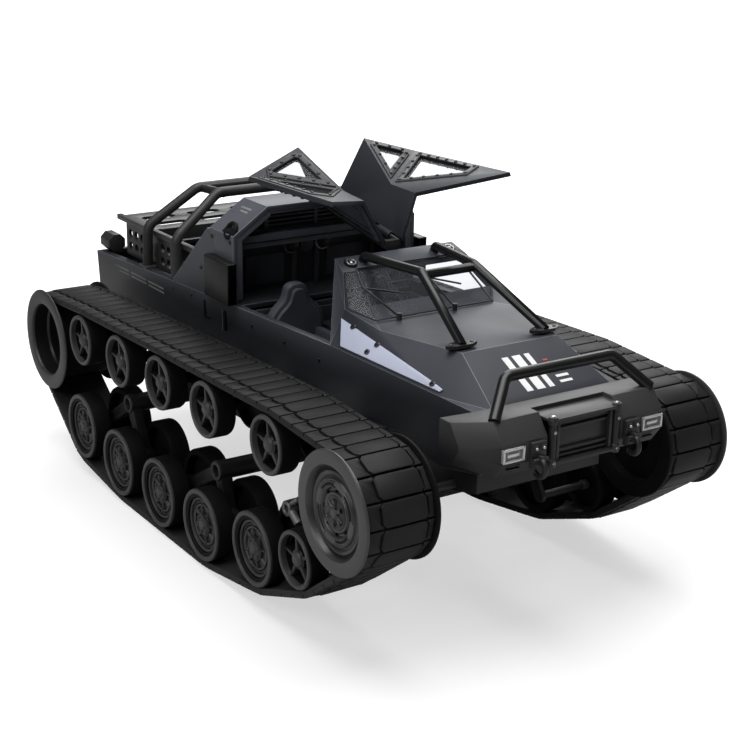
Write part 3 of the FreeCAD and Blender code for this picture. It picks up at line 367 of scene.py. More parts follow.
class Wheel:
    """A wheel's place and the shapes on it; depths run inwards from its outer face."""

    def __init__(self, side_name, side, name):
        x, z = wheel_centre(side_name, name)
        self.centre = (x, side * FACE, z)
        self.inward = -side

    def spot(self, angle, radius, depth):
        x, y, z = self.centre
        return Vector((x + radius * cos(angle), y + self.inward * depth, z + radius * sin(angle)))

    def turn(self, bm, steps, *profile):
        """A solid of revolution, as a loop of (radius, depth)."""
        add_lathe(bm, self.centre, (0, self.inward, 0), profile, steps)

    def bolts(self, bm, count, phase, radius, depth, size, height):
        for angle in turns(count, phase):
            add_hex(bm, self.spot(angle, radius, depth), (0, -self.inward, 0), size, height)

    def spokes(self, bm, count, phase, inner, outer, wide, narrow, front, back):
        """Tapered spokes with soft front edges."""
        middle = Vector(self.centre)
        for angle in turns(count, phase):
            along = Vector((cos(angle), 0, sin(angle)))
            side = Vector((-along.z, 0, along.x))
            rings = []
            for depth, grow in ((back, 0.3), (front + 0.7, 0), (front, -0.45)):
                corners = ((inner, wide + grow), (outer, narrow + grow), (outer, -narrow - grow),
                           (inner, -wide - grow))
                inwards = Vector((0, self.inward * depth, 0))
                rings.append([middle + along * u + side * v + inwards for u, v in corners])
            add_rings(bm, rings)

    def arc_ribs(self, bm, count, phase, inner, outer, sweep, front, back, steps=10):
        """Curved ribs round the axle, with soft front edges."""
        section = ((inner, back), (inner, front + 0.3), (inner + 0.3, front), (outer - 0.3, front),
                   (outer, front + 0.3), (outer, back))
        for middle in turns(count, phase):
            angles = [middle + sweep * (i / steps - 0.5) for i in range(steps + 1)]
            add_rings(bm, [[self.spot(angle, r, d) for r, d in section] for angle in angles])

    def inner_half(self, dark, light, outer, inner, bearing):
        """The inner tyre, its disc, the sleeve, and the bearing's pale round end."""
        self.turn(dark, 40, (inner, 38.6), (inner, 27), (inner + 0.5, 26.4), (outer - 1.6, 26.4),
                  (outer - 0.5, 26.9), (outer, 28), (outer, 37), (outer - 0.5, 38.1), (outer - 1.6, 38.6))
        self.turn(dark, 40, (3, 31.6), (inner + 0.3, 31.6), (inner + 0.3, 35), (3, 35))
        self.turn(dark, 20, (2.2, 7), (3.2, 7), (3.2, 35.4), (2.2, 35.4))
        add_button(light, self.spot(0, 0, 38), (0, self.inward, 0), bearing, 1, 24, 0.4, 3)


def small_wheel(wheel, dark, web, light, outer, inner):
    """Thin ring, five spokes and a domed cap."""
    wheel.turn(dark, 48, (inner, 12.5), (inner, 1.6), (outer - 0.9, 1.4), (outer, 2), (outer, 10.9),
               (outer - 0.5, 12), (outer - 1.6, 12.5))
    wheel.turn(light, 56, (inner - 0.1, 4), (inner - 0.1, 1.1), (inner + 0.3, 0.7), (outer - 0.8, 0.7),
               (outer - 0.3, 1.2), (outer - 0.3, 2.6), (inner + 0.6, 2.6), (inner + 0.6, 4))
    wheel.turn(dark, 48, (inner + 0.2, 5.2), (inner + 0.2, 8.4), (inner - 1.1, 8.4), (inner - 1.1, 5.2))
    wheel.spokes(web, 5, 0.45, 3.4, inner - 0.5, 1.5, 0.85, 2.9, 7.2)
    wheel.turn(light, 32, (0.01, 1.3), (1.5, 1.35), (2.8, 1.7), (3.8, 2.5), (4.2, 3.4), (4.2, 5), (0.01, 5))
    wheel.turn(web, 32, (3.6, 3.2), (4.6, 3), (5.3, 3.6), (5.5, 4.6), (5.5, 7.6), (3.6, 7.6))
    wheel.inner_half(dark, light, outer, inner, 2.6)


def road_wheel(wheel, dark, web, light):
    """Rubber ring round a dished rim with raised ribs, a bolted hub and a cap."""
    outer, inner = 19.5, 15.6
    wheel.turn(dark, 56, (inner - 0.6, 12.5), (inner - 0.6, 1.9), (inner + 0.4, 1.7), (outer - 0.8, 1.5),
               (outer, 2.2), (outer, 10.9), (outer - 0.5, 12), (outer - 1.6, 12.5))
    wheel.turn(light, 64, (inner + 1.1, 2.4), (inner + 1.1, 1.2), (inner + 1.5, 0.75), (outer - 0.8, 0.75),
               (outer - 0.3, 1.2), (outer - 0.3, 2.4))
    wheel.turn(light, 56, (13.3, 4), (13.3, 3), (13.6, 2.7), (14.2, 2.7), (14.5, 3), (14.5, 4))
    wheel.turn(web, 56, (2.2, 7.2), (2.2, 4), (9, 4.2), (11.2, 4.8), (12.6, 4.9), (13.6, 3.8),
               (14.8, 3.2), (15.4, 3.6), (15.4, 7.2))
    wheel.turn(light, 48, (9.9, 5.4), (9.9, 3.7), (10.2, 3.4), (10.8, 3.4), (11.1, 3.7), (11.1, 5.6))
    wheel.arc_ribs(light, 4, 0.3, 11.8, 12.7, 0.9, 3.9, 5.2)
    wheel.spokes(web, 8, 0.2, 5, 10.4, 1, 0.7, 3.2, 5)
    wheel.turn(web, 32, (0.01, 2.3), (4.6, 2.3), (5.6, 2.5), (6.5, 3.1), (6.9, 4), (6.9, 5.6), (0.01, 5.6))
    wheel.turn(light, 24, (0.01, 1.35), (1.5, 1.4), (2.3, 1.7), (2.7, 2.2), (2.7, 3.2), (0.01, 3.2))
    wheel.bolts(light, 6, 0.3, 4.6, 2.3, 0.72, 0.7)
    wheel.bolts(light, 8, 0.1, 8.3, 4.1, 0.5, 0.5)
    wheel.inner_half(dark, light, outer, inner, 3)


def sprocket(wheel, dark, web, light):
    """Flanged drum: broad rim, dished face with a groove, a raised centre with arc slots, a bolted hub."""
    wheel.turn(
        light, 96, (2.2, 8), (2.2, 2.2), (6, 2.2), (9.2, 2.4), (10, 3.4), (10.9, 3.4), (11.5, 2.3),
        (12.1, 1.9), (14.6, 1.8), (15.6, 1.9), (16.2, 2.9), (16.9, 3.2), (17.4, 2.6), (18.4, 2.2),
        (19.2, 2.4), (19.8, 3.8), (20.5, 4.1), (21.1, 3.4), (21.6, 1.1), (22.4, 0.2), (27.6, 0.05),
        (28.8, 0.25), (29.3, 0.7), (29.3, 1.4), (28.8, 1.7), (23, 1.7), (23, 8))
    wheel.turn(
        dark, 96, (20.8, 8), (23.4, 2), (23.4, 37.6), (28.8, 37.6), (29.3, 37.9), (29.3, 39),
        (28.9, 39.3), (22.6, 39.3), (20.8, 38.4), (20.8, 33.5), (7, 33), (7, 31), (20.8, 31))
    wheel.arc_ribs(dark, 4, 0.5, 12.6, 14.2, 0.85, 1.72, 2.4)
    wheel.arc_ribs(light, 4, 0.5, 14.5, 15.1, 1, 1.35, 2.4)
    wheel.arc_ribs(light, 4, 0.5, 11.9, 12.3, 1, 1.45, 2.4)
    wheel.turn(web, 48, (0.01, 1.7), (2.4, 1.75), (7, 1.9), (8.4, 2.2), (8.8, 3), (0.01, 3))
    wheel.turn(light, 32, (0.01, 0.7), (1.4, 0.75), (2.3, 1.1), (2.6, 1.6), (2.6, 2.6), (0.01, 2.6))
    wheel.spokes(web, 6, 0.5, 2.4, 6.6, 1.5, 1.1, 1.1, 2.6)
    wheel.bolts(light, 6, 0.5, 5.4, 1.2, 0.8, 0.55)
    wheel.bolts(dark, 8, 0.8, 10.4, 2.9, 0.6, 0.5)


def idler(wheel, dark, web, light):
    """Deep open ring: broad rim, stepped well and a small hub at its floor."""
    wheel.turn(
        light, 96, (21.7, 2.6), (21.7, 1.2), (22.1, 0.5), (23, 0.1), (29.2, 0.1), (30.2, 0.4), (30.6, 0.9),
        (30.6, 1.3), (30.2, 1.7), (24.6, 1.7), (24.6, 2.6))
    wheel.turn(
        dark, 96, (2.2, 27), (2.2, 20.2), (6.5, 20.2), (7, 22), (12, 22), (12.6, 21.4), (14, 21.4),
        (14.6, 22), (20.2, 22), (20.9, 21.2), (20.9, 12), (21.3, 11.4), (21.6, 11), (21.6, 2),
        (24.7, 1.9), (24.7, 37.6), (30.1, 37.6), (30.6, 38), (30.6, 38.9), (30.1, 39.3), (23, 39.3),
        (22.4, 38.6), (22.4, 27.6), (21.8, 27))
    wheel.turn(web, 96, (20.95, 12.4), (20.95, 11.6), (21.6, 11.2), (21.6, 10), (21.2, 10.4), (20.6, 11.2),
               (20.6, 12.4))
    wheel.turn(web, 32, (0.01, 18.4), (3.8, 18.4), (5.8, 18.9), (6.5, 19.8), (6.5, 21), (0.01, 21))
    wheel.bolts(web, 6, 0, 9.4, 22, 0.8, 0.6)


def make_wheels():
    for side_name, side in SIDES:
        for name in WHEELS:
            wheel = Wheel(side_name, side, name)
            # dark holds the tyres and drums, and the idler's deep well drawn near-black as painted shade; web
            # holds the recessed webs and spokes, painted shade; light holds the outward rims, ribs, bolts and
            # caps in a lighter copy, a painted highlight
            dark, web, light = new_meshes(3)
            slot, face = "wheel_plastic", RIM
            if name == "rear_idler":
                face = RIB
                idler(wheel, dark, web, light)
            elif name == "drive_sprocket":
                face = WHEEL
                sprocket(wheel, dark, web, light)
            elif name.startswith("road"):
                slot = "tyre_rubber"
                road_wheel(wheel, dark, web, light)
            elif name == "front_small_wheel":
                small_wheel(wheel, dark, web, light, 14.7, 12.3)
            else:
                small_wheel(wheel, dark, web, light, 15, 12.6)
            body = f"{side_name}_{name}"
            finish(dark, f"{body}_tyre", TYRE, slot, body, body=body)
            finish(web, f"{body}_web", WEB, slot, body=body)
            finish(light, f"{body}_rim", face, slot, body=body)


# ------ belts

LINKS = 78
BLOCK_FOOT, PAD_TOP, BLOCK_TOP = 1.8, 4.25, 3.7  # heights over the belt's inner face


def belt_circles(side_name):
    """Each wheel the belt can rest on, as (x, z, radius of the belt's inner face)."""
    radii = {"rear_idler": 24.7, "drive_sprocket": 23.4, "front_small_wheel": 14.7}
    return [(*wheel_centre(side_name, name), radii.get(name, 15 if "roller" in name else 19.5) + 0.3)
            for name in WHEELS]


def belt_wraps(circles, steps=3600):
    """The wheels that the belt bends round, in order, each with its first and last angle."""
    support = []
    for a in turns(steps):
        reach = [x * cos(a) + z * sin(a) + r for x, z, r in circles]
        support.append(reach.index(max(reach)))
    start = next(i for i in range(steps) if support[i] != support[i - 1])
    order = []
    for k in support[start:] + support[:start]:
        if not order or order[-1] != k:
            order.append(k)
    joins = []
    for here, there in zip(order, order[1:] + order[:1]):
        (x0, z0, r0), (x1, z1, r1) = circles[here], circles[there]
        joins.append(atan2(z1 - z0, x1 - x0) - acos((r0 - r1) / hypot(x1 - x0, z1 - z0)))
    return [(circles[k], joins[i - 1], joins[i - 1] + (joins[i] - joins[i - 1]) % (2 * pi))
            for i, k in enumerate(order)]


def belt_path(wraps):
    """The belt's inner face as (kind, length, numbers), arcs and straight runs in turn."""
    path = []
    for i, ((x, z, r), first, last) in enumerate(wraps):
        (nx, nz, nr), _, _ = wraps[(i + 1) % len(wraps)]
        ux, uz = cos(last), sin(last)
        sx, sz = x + r * ux, z + r * uz
        path.append(("arc", r * (last - first), (x, z, r, first)))
        path.append(("run", hypot(nx + nr * ux - sx, nz + nr * uz - sz), (sx, sz, ux, uz)))
    return path


def belt_point(path, total, along, offset):
    along %= total
    for kind, length, (a, b, c, d) in path:
        if along <= length:
            if kind == "arc":
                angle = d + along / c
                return a + (c + offset) * cos(angle), b + (c + offset) * sin(angle)
            return a - d * along + offset * c, b + c * along + offset * d
        along -= length
    return belt_point(path, total, 0, offset)


def make_belts():
    """Rubber belts: a carcass, and on each link a broad pad between an outer and an inner block."""
    for side_name, side in SIDES:
        low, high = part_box(f"{side_name}_track")
        edge, width = max(abs(low.y), abs(high.y)) / MM, (high.y - low.y) / MM
        path = belt_path(belt_wraps(belt_circles(side_name)))
        total = sum(length for _, length, _ in path)
        pitch = total / LINKS
        bm = bmesh.new()

        def spot(along, offset, across):
            x, z = belt_point(path, total, along, offset)
            return Vector((x, side * (edge - across), max(z, 0)))

        carcass = ((0, 0.5), (0.6, 0.05), (1.7, 0.05), (2, 0.5), (2, width - 0.5), (1.7, width - 0.05),
                   (0.6, width - 0.05), (0, width - 0.5))
        steps = LINKS * 6
        rings = [[spot(total * i / steps, h, v) for h, v in carcass] for i in range(steps)]
        add_rings(bm, rings, closed=True)
        # outlines on the belt, as (along the link, across the belt)
        end = pitch - 0.4
        pad = [(0.4, 9.4), (2, 7.7), (pitch - 2, 7.7), (end, 9.4), (end, 29.9), (pitch - 1.7, 31.3),
               (1.7, 31.3), (0.4, 29.9)]
        outer = [(0.4, 0.15), (end, 0.15), (end, 8.3), (pitch - 2.2, 6.9), (2.2, 6.9), (0.4, 8.3)]
        inner = [(0.4, width - 0.15), (0.4, 31), (2, 32.1), (pitch - 2, 32.1), (end, 31), (end, width - 0.15)]
        for link in range(LINKS):
            start = link * pitch
            for outline, top in ((pad, PAD_TOP), (outer, BLOCK_TOP), (inner, BLOCK_TOP)):
                centre_u = sum(u for u, _ in outline) / len(outline)
                centre_v = sum(v for _, v in outline) / len(outline)
                levels = []
                for h, shrink in ((BLOCK_FOOT, 0), (top - 0.5, 0.08), (top - 0.12, 0.18), (top, 0.42)):
                    ring = []
                    for u, v in outline:
                        du, dv = centre_u - u, centre_v - v
                        ring.append(spot(start + u + copysign(min(abs(du), shrink), du), h,
                                         v + copysign(min(abs(dv), shrink), dv)))
                    levels.append(ring)
                add_rings(bm, levels)
        finish(bm, f"{side_name}_belt", BELT, "track_rubber", f"{side_name}_track", smooth=38)


# ------ pieces with the CAD nodes' shapes

def make_shells():
    """CAD nodes whose shape is right, with rounded edges and their finishes."""
    for label, material, bevel in (
            ("intake_scoops", WEB, 0.9), ("side_plates", PLATE, 0.18), ("front_bumper", BUMPER, 0.5),
            ("chassis_tub", DARK, 0.4), ("cabin_tub", DASH, 0.5), ("bed_rack", BLACK, 0.25),
            ("roof_spine", DARK, 0.2), ("rear_lamps", BLACK, 0.3), ("suspension_arms", DARK, 0.4),
            ("bull_bar", TUBE, 0), ("rear_roll_cage", BUMPER, 0), ("windscreen_guard", TUBE, 0),
            ("shackles", BLACK, 0.15), ("lifting_eyes", TYRE, 0), ("wipers", BLACK, 0),
            ("wheel_axles", DARK, 0.2), ("drive_motors", MOTOR, 0.5), ("battery_pack", WRAP, 1.5),
            ("windscreen_glass", GLASS, 0)):
        refined(label, f"{label}_finish", material, bevel)
    # Their bevelled edges take the lighter edge finish, a painted highlight.
    for label, material in (("body_shell", PAINT), ("cab_cowl", HOOD), ("rear_bulkhead", PAINT)):
        refined(label, f"{label}_finish", material, 0.35, edge=EDGE_HIGHLIGHT)
    for side_name, _ in SIDES:
        body = f"{side_name}_door"
        refined(body, f"{body}_skin", DOOR, 0.4, body, EDGE_HIGHLIGHT)
        refined(f"{body}_glass", f"{side_name}_panes_finish", GLASS, 0, body)


# ------ door trim

HINGE_FRONT, HINGE_REAR = (42.3, 165.3), (-22.4, 175.5)
HINGE_HALF, SKIN, BOLT_SPACING = 4.2, 2.38, 8.6
DOOR_FRONT, DOOR_LOW = (59.6, 60.2, 133.3), (-22.6, 45.7, 140.4)  # lower corners of the closed left door


def roof_point(x, y):
    """A point of the closed left door's roof panel."""
    (x0, z0), (x1, z1) = HINGE_FRONT, HINGE_REAR
    return Vector((x, y, z0 + (z1 - z0) * (x - x0) / (x1 - x0) - 0.0355 * (y - HINGE_HALF)))


def between(a, b, share):
    return a + (b - a) * share


def flat_normal(points):
    return (points[1] - points[0]).cross(points[2] - points[0]).normalized()


def upward_normal(points):
    normal = flat_normal(points)
    return -normal if normal.z < 0 else normal


def inset(points, distance):
    """The same flat outline with every side moved inwards."""
    normal = flat_normal(points)
    lines = []
    for here, there in zip(points, points[1:] + points[:1]):
        run = (there - here).normalized()
        lines.append((here + normal.cross(run) * distance, run))
    made = []
    for (p, u), (q, v) in zip(lines[-1:] + lines[:-1], lines):
        across = u.cross(v)
        made.append(p + u * ((q - p).cross(v).dot(across) / across.length_squared))
    return made


def door_outlines():
    """Closed left door: the roof panel, and its two side windows."""
    roof = [roof_point(*p) for p in ((41.5, 6), (-22.4, 6), (-22.6, 41.4), (15, 27.5), (35.2, 30))]
    corner, kink = roof[2:4]
    low_rear, low_front = Vector(DOOR_LOW), Vector(DOOR_FRONT)
    a, b, c = inset([corner, low_rear, kink], 2.6)
    rear = [between(a, c, 0.1), between(a, b, 0.12), between(a, b, 0.8), between(b, c, 0.12), c]
    a, b, c = inset([kink, low_rear, low_front], 2.6)
    front = [a, between(b, a, 0.12), between(b, c, 0.03), between(b, c, 0.76), between(c, a, 0.3),
             between(c, a, 0.72)]
    return roof, rear, front


def door_swing(side_name, side):
    """Carries a point of the closed left door to this door's stored pose."""
    joints = {j["name"]: j for j in frame["record"]["behaviour"]["joints"]}
    angle = -joints[f"{side_name}_door_hinge"]["range_deg"][0]
    (x0, z0), (x1, z1) = HINGE_FRONT, HINGE_REAR
    turn = Matrix.Rotation(radians(side * angle), 3, Vector((x0 - x1, 0, z0 - z1)).normalized())
    pivot = Vector((x0, side * HINGE_HALF, z0))

    def carried(p):
        return pivot + turn @ (Vector((p[0], side * p[1], p[2])) - pivot)

    return carried


def add_band(bm, outline, section, carried):
    """A frame round a flat outline; the section is a loop of (distance inwards, height outwards)."""
    out = upward_normal(outline)
    rings = [[carried(p + out * height) for p in inset(outline, distance)] for distance, height in section]
    add_rings(bm, rings, closed=True)


def bolts_along(bm, outline, height, carried):
    """Round heads along a flat outline, on its outer side or, below height 0, on its inner one."""
    out = upward_normal(outline)
    track = inset(outline, 1)
    for here, there in zip(track, track[1:] + track[:1]):
        count = max(1, round((there - here).length / BOLT_SPACING))
        for i in range(count):
            spot = between(here, there, i / count)
            axis = carried(spot + out * copysign(1, height)) - carried(spot)
            add_button(bm, carried(spot + out * height), axis, 0.95, 0.75, 10, sink=0.4)


def make_door_trim():
    """Bolted window surrounds, and each door's inner lining with its raised lips."""
    roof, *windows = door_outlines()
    surround = ((-1, 0), (-0.7, 0.6), (-0.2, 0.9), (2.2, 0.9), (2.7, 0.5), (2.7, -SKIN - 0.4),
                (2.2, -SKIN - 0.8), (-0.2, -SKIN - 0.8), (-0.7, -SKIN - 0.5), (-1, -SKIN))
    lip = [(u, h - SKIN) for u, h in ((0.1, 0.4), (0.1, -0.9), (0.5, -1.3), (1.5, -1.3), (1.9, -0.9),
                                      (1.9, 0.4))]
    panel = [(u, h - SKIN) for u, h in ((4.4, 0.3), (4.5, -0.3), (4.9, -0.5), (5.9, -0.5), (6.3, -0.3),
                                        (6.4, 0.3))]
    below = -upward_normal(roof)
    for side_name, side in SIDES:
        body = f"{side_name}_door"
        carried = door_swing(side_name, side)
        frames, bolts, lips = new_meshes(3)
        start = [carried(p + below * (SKIN + 0.02)) for p in inset(roof, 0.5)]
        add_prism(lips, start, carried(roof[0] + below * 0.2) - carried(roof[0]))
        for outline in windows:
            add_band(frames, outline, surround, carried)
            for height in (0.85, -SKIN - 0.75):
                bolts_along(bolts, outline, height, carried)
        add_band(lips, inset(roof, 1.2), lip, carried)
        add_band(lips, roof, panel, carried)
        finish(frames, f"{body}_window_surrounds", FRAME, "black_plastic",
               f"{side_name}_window_frames", body=body)
        finish(bolts, f"{body}_window_bolts", FRAME, "black_plastic", body=body)
        finish(lips, f"{body}_inner_lining", LINING, "body_paint", body=body)


# ------ cab and bulkhead

def make_bulkhead_trim():
    """Door jambs, the panels and dome lamps on the cab's rear wall, and a slatted recess above."""
    paint, dark, steel = new_meshes(3)
    jamb = [(37.4, 175.6), (58.7, 161.3), (58.7, 126), (53.4, 126), (53.4, 158.9), (35.6, 170.6)]
    for _, side in SIDES:
        add_rings(paint, [[Vector((x, side * (y - (taper if y > 45 else 0)), z)) for y, z in jamb]
                          for x, taper in ((-28, 0), (-24.1, 0), (-23.7, 0.2))])
        frame_x = (-46.9, -45.8)
        sided_boxes(paint, side, ((-34, -30.4), (49, 53), (122, 158), 0.5),
                    (frame_x, (6, 9), (118, 150), 0.4), (frame_x, (44, 47), (118, 150), 0.4),
                    (frame_x, (6, 47), (148, 151), 0.4), (frame_x, (6, 47), (119, 122), 0.4),
                    ((-46.9, -46.1), (14, 39), (126, 143), 0.3))
        lamp = Vector((-46.6, side * 10.4, 146.8))
        add_lathe(steel, lamp, (1, 0, 0), ((3.2, 0), (4.9, 0), (5.1, 1.6), (4.6, 2.4), (3.9, 2.4),
                                           (3.2, 1.8)), 32)
        add_button(dark, lamp + Vector((0.6, 0, 0)), (1, 0, 0), 4.2, 4.6, 28, 0.6, 0.4)
    add_box(paint, (-34.5, -53.4, 155.4), (-28.6, 53.4, 159.4), 0.6)
    add_box(paint, (-33, -52, 151.8), (-30.4, 52, 154.6), 0.5)
    add_box(paint, (-28, -36, 171.2), (-24, 36, 175.4), 0.5)
    # A satin black plate behind the slats: painted shade at the back of the recess.
    add_box(dark, (-41, -33, 159.2), (-39, 33, 173), 0.3)
    for i in range(5):
        z = 161.6 + 2.4 * i
        add_box(paint, (-38.9, -30.5, z), (-35.6, 30.5, z + 1), 0.35)
    for y in (-31.5, 0, 31.5):
        add_box(paint, (-39, y - 1, 160), (-35.2, y + 1, 173.2), 0.3)
    finish(paint, "bulkhead_jambs", PAINT, "body_paint")
    finish(dark, "bulkhead_recess", BLACK, "body_paint")
    finish(steel, "dome_lamp_rings", STEEL, "steel")


def make_side_trim():
    """Fasteners, slots and plain markings on the body's sides."""
    screws, slots, white, pale, steel = new_meshes(5)

    def side_y(z):
        return 57.5 + 1.5 * (z - 95.9) / 22

    def shoulder_mark(bm, side, share, x0, x1, half, height):
        """A plain bar on the bulkhead's sloping shoulder."""
        run, rise = 58.9 - 37.7, 161.7 - 176
        out = Vector((0, -rise * side, run)).normalized()
        across = Vector((0, run * side, rise)).normalized()
        middle = Vector((0, side * (37.7 + run * share), 176 + rise * share))
        corners = ((x0, -half), (x1, -half), (x1, half), (x0, half))
        add_prism(bm, [middle + Vector((x, 0, 0)) + across * v for x, v in corners], out * height)

    for _, side in SIDES:
        out = (0, side, 0)
        for x, z in ((-47.2, 157.2), (-26.7, 158), (-61, 136.6), (-57, 124), (-45, 124)):
            add_screw(screws, (x, side * 59, z), out, 1.15, 0.6)
        for x, z in ((-97.5, 115.7), (-74, 117.6), (64, 117.6), (30, 117.6), (-4, 117.6)):
            add_screw(screws, (x, side * (side_y(z) - 0.1), z), out, 1, 0.45)
        # The slots are near-black blocks on the surface: painted shade standing for the openings.
        sided_boxes(slots, side, ((-35.4, -32.6), (58, 59.25), (106.8, 118), 0.3),
                    ((-58.4, -56.8), (58, 59.3), (108.4, 118.4), 0.25),
                    ((-57, -52.6), (58, 59.1), (108.4, 109.6), 0.25))
        # A pale strip on the front slot's rear wall, which faces forward: painted light.
        sided_boxes(pale, side, ((-36.2, -35.3), (58, 59.4), (106.4, 118.6), 0.2))
        sided_boxes(steel, side, ((-30.5, -19.6), (60.2, 64.2), (125.6, 126.9), 0.4))
        for xs in ((-186, -158), (-154.5, -134), (-130.5, -110)):
            for z in (108.9, 111.3):
                sided_boxes(white, side, (xs, (side_y(z) - 0.3, side_y(z) + 0.16), (z, z + 1.1), 0.1))
        shoulder_mark(white, side, 0.24, -43, -32, 0.7, 0.16)
        shoulder_mark(white, side, 0.34, -40.5, -32.5, 0.7, 0.16)
        shoulder_mark(pale, side, 0.42, -48, -45, 0.35, 0.12)
    finish(screws, "side_screws", SCREW, "body_paint")
    finish(slots, "side_slots", TYRE, "body_paint")
    finish(white, "side_stripes", STRIPE, "body_paint")
    finish(pale, "side_slot_edges", PALE, "body_paint")
    finish(steel, "scoop_latches", STEEL, "steel")


def make_hood_marks():
    """Plain bars on the hood's front slope."""
    white, red = new_meshes(2)
    top = Vector((141.7, 0, 137.8))
    slope = (Vector((175.5, 0, 121)) - top).normalized()
    out = Vector((-slope.z, 0, slope.x))
    base = top + out * 0.02
    # each bar as (mesh, reach down the slope, reach across it)
    for bm, (u0, u1), (y0, y1) in (
            (white, (8, 31), (-11, -7.4)), (white, (8, 31), (-5, -0.2)),
            (white, (8, 31), (2.2, 5.2)), (white, (24.6, 26.2), (9.8, 17)),
            (white, (28.2, 29.8), (9.8, 17)), (red, (13.6, 14.6), (9.6, 12.4)),
            (red, (15.6, 16.6), (10.2, 12.8))):
        corners = ((u0, y0), (u1, y0), (u1, y1), (u0, y1))
        add_prism(bm, [base + slope * u + Vector((0, v, 0)) for u, v in corners], out * 0.16)
    finish(white, "hood_bars", WHITE, "body_paint")
    finish(red, "hood_dash", RED, "body_paint")


def make_hood_trim():
    """Slotted plate screws, small hood screws, and the frame lines round the three panes."""
    screws, slots, frames = new_meshes(3)
    plate_screws = [Vector(p) for p in ((79.8, -48.3, 136.6), (99.2, -47, 132.5), (97.2, -51.4, 129.1),
                                        (140.5, -43.7, 124.4))]
    a, b, c = plate_screws[:3]
    away = (c - a).cross(b - a).normalized()
    if away.y > 0:
        away = -away
    slot = ((-1.2, -0.28), (1.2, -0.28), (1.2, 0.28), (-1.2, 0.28))
    for x, y, z in plate_screws:
        for _, side in SIDES:
            axis = Vector((away.x, -side * away.y, away.z))
            spot = Vector((x, -side * y, z)) + axis * 0.9
            add_button(screws, spot, axis, 1.5, 0.55, 20, 0.3, 1.2)
            _, across, _ = basis(axis)
            # The screw slots are near-black bars on the heads: painted shade standing for the grooves.
            add_prism(slots, [spot + axis * 0.5 + across * u + axis.cross(across) * v for u, v in slot],
                      axis * 0.12)
    for y in (-31, -19, 19, 31):
        add_button(screws, (136.2, y, 140.4), (0, 0, 1), 0.9, 0.6, 14)
    finish(screws, "plate_screws", SCREW, "steel")
    finish(slots, "plate_screw_slots", TYRE, "steel")
    top, low, outer = (54, 31, 158.4), (80.9, 36, 138.9), (68.4, 44.5, 143.2)
    for _, side in SIDES:
        a, b, c = (Vector((x, side * y, z)) for x, y, z in (top, low, outer))
        add_bar(frames, [a, b], 0.55, 8)
        add_bar(frames, [b, c], 0.5, 8)
    for x, y, z in (top, low):
        add_bar(frames, [(x, -y, z), (x, y, z)], 0.55, 8)
    finish(frames, "screen_frame_lines", HOOD, "body_paint")


def rounded(points, radius, steps=5):
    """The outline with its corners turned into soft curves."""
    made = []
    for before, here, after in zip(points[-1:] + points[:-1], points, points[1:] + points[:1]):
        a, b = (here + (p - here) * min(radius / (p - here).length, 0.45) for p in (before, after))
        for i in range(steps + 1):
            t = i / steps
            made.append(a * (1 - t) ** 2 + here * (2 * t * (1 - t)) + b * t ** 2)
    return made


def make_seats():
    """Two bucket seats with soft shoulders, a raised cushion and side bolsters."""
    bm = bmesh.new()
    half = ((16.5, 98), (17.4, 116), (13, 122), (7.4, 126.6), (5.8, 135))
    for y in (-27, 27):
        back = [Vector((0, y - u, z)) for u, z in half] + [Vector((0, y + u, z)) for u, z in half[::-1]]
        for outline, levels in ((back, ((-16, 0.9), (-15.1, 0), (-10.9, 0), (-9.7, 0.5), (-9.2, 1.6))),
                                (inset(back, 2.4), ((-9.6, 0), (-8.6, 0.2), (-7.9, 0.9)))):
            add_rings(bm, [[p + Vector((x, 0, 0)) for p in rounded(inset(outline, shrink), 5)]
                           for x, shrink in levels])
        add_box(bm, (-9, y - 14, 98), (23.6, y + 14, 105.4), 1.6)
        for u in (-12.4, 12.4):
            add_box(bm, (-9, y + u - 2.4, 98), (22, y + u + 2.4, 109.2), 1.5)
    finish(bm, "seat_cushions", CABIN, "interior", "seats")


def make_header_caps():
    """Dark round caps with a bright ring and button, on the header strip."""
    dark, steel = new_meshes(2)
    tilt = Vector((4.4, 0, 11)).normalized()
    for _, side in SIDES:
        spot = Vector((48.6, side * 30.6, 159.8))
        add_lathe(dark, spot, tilt, ((0.01, 0), (3.6, 0), (3.6, 0.6), (3.3, 0.9), (0.01, 0.9)), 32)
        add_lathe(steel, spot, tilt, ((1.9, 0.6), (1.9, 1.1), (2.1, 1.3), (2.7, 1.3), (2.9, 1.1),
                                      (2.9, 0.6)), 32)
        add_button(steel, spot + tilt * 0.9, tilt, 1, 0.4, 20, 0.4, 0.5)
    finish(dark, "header_cap_discs", TYRE, "steel", "header_caps")
    finish(steel, "header_cap_rings", STEEL, "steel")


# ------ front fittings

def make_winch():
    """Ribbed cover between two cheeks, with a guide roller at each end."""
    cover, steel = new_meshes(2)
    add_box(cover, (184.9, -15.4, 100.4), (195.2, 15.4, 119.8), 1.3)
    for z in (101.6, 104.4, 114.6, 117.4):
        add_box(cover, (193.8, -14.6, z), (196.6, 14.6, z + 1.3), 0.45)
    for z in (99.2, 119.7):
        add_box(cover, (184.9, -21, z), (199.2, 21, z + 1.5), 0.45)
    for _, side in SIDES:
        x, y = 197.4, side * 18.7
        sided_boxes(cover, side, ((186, 197.8), (14.6, 16.3), (100, 120.4), 0.4))
        add_lathe(cover, (x, y, 0), (0, 0, 1),
                  ((0.01, 98.2), (2, 98.2), (2.2, 98.6), (2.2, 101.8), (1.75, 102.4), (1.75, 118),
                   (2.2, 118.6), (2.2, 121.6), (2, 122), (0.01, 122)), 28)
        add_hex(steel, (x, y, 121.8), (0, 0, 1), 1.1, 0.7)
        add_hex(steel, (x, y, 98.4), (0, 0, -1), 1.1, 0.7)
        for z in (100.4, 115):
            add_screw(steel, (199.2, y, z), (1, 0, 0), 0.8, 0.4)
    finish(cover, "winch_cover", BLACK, "black_plastic", "winch")
    finish(steel, "winch_screws", STEEL, "steel")


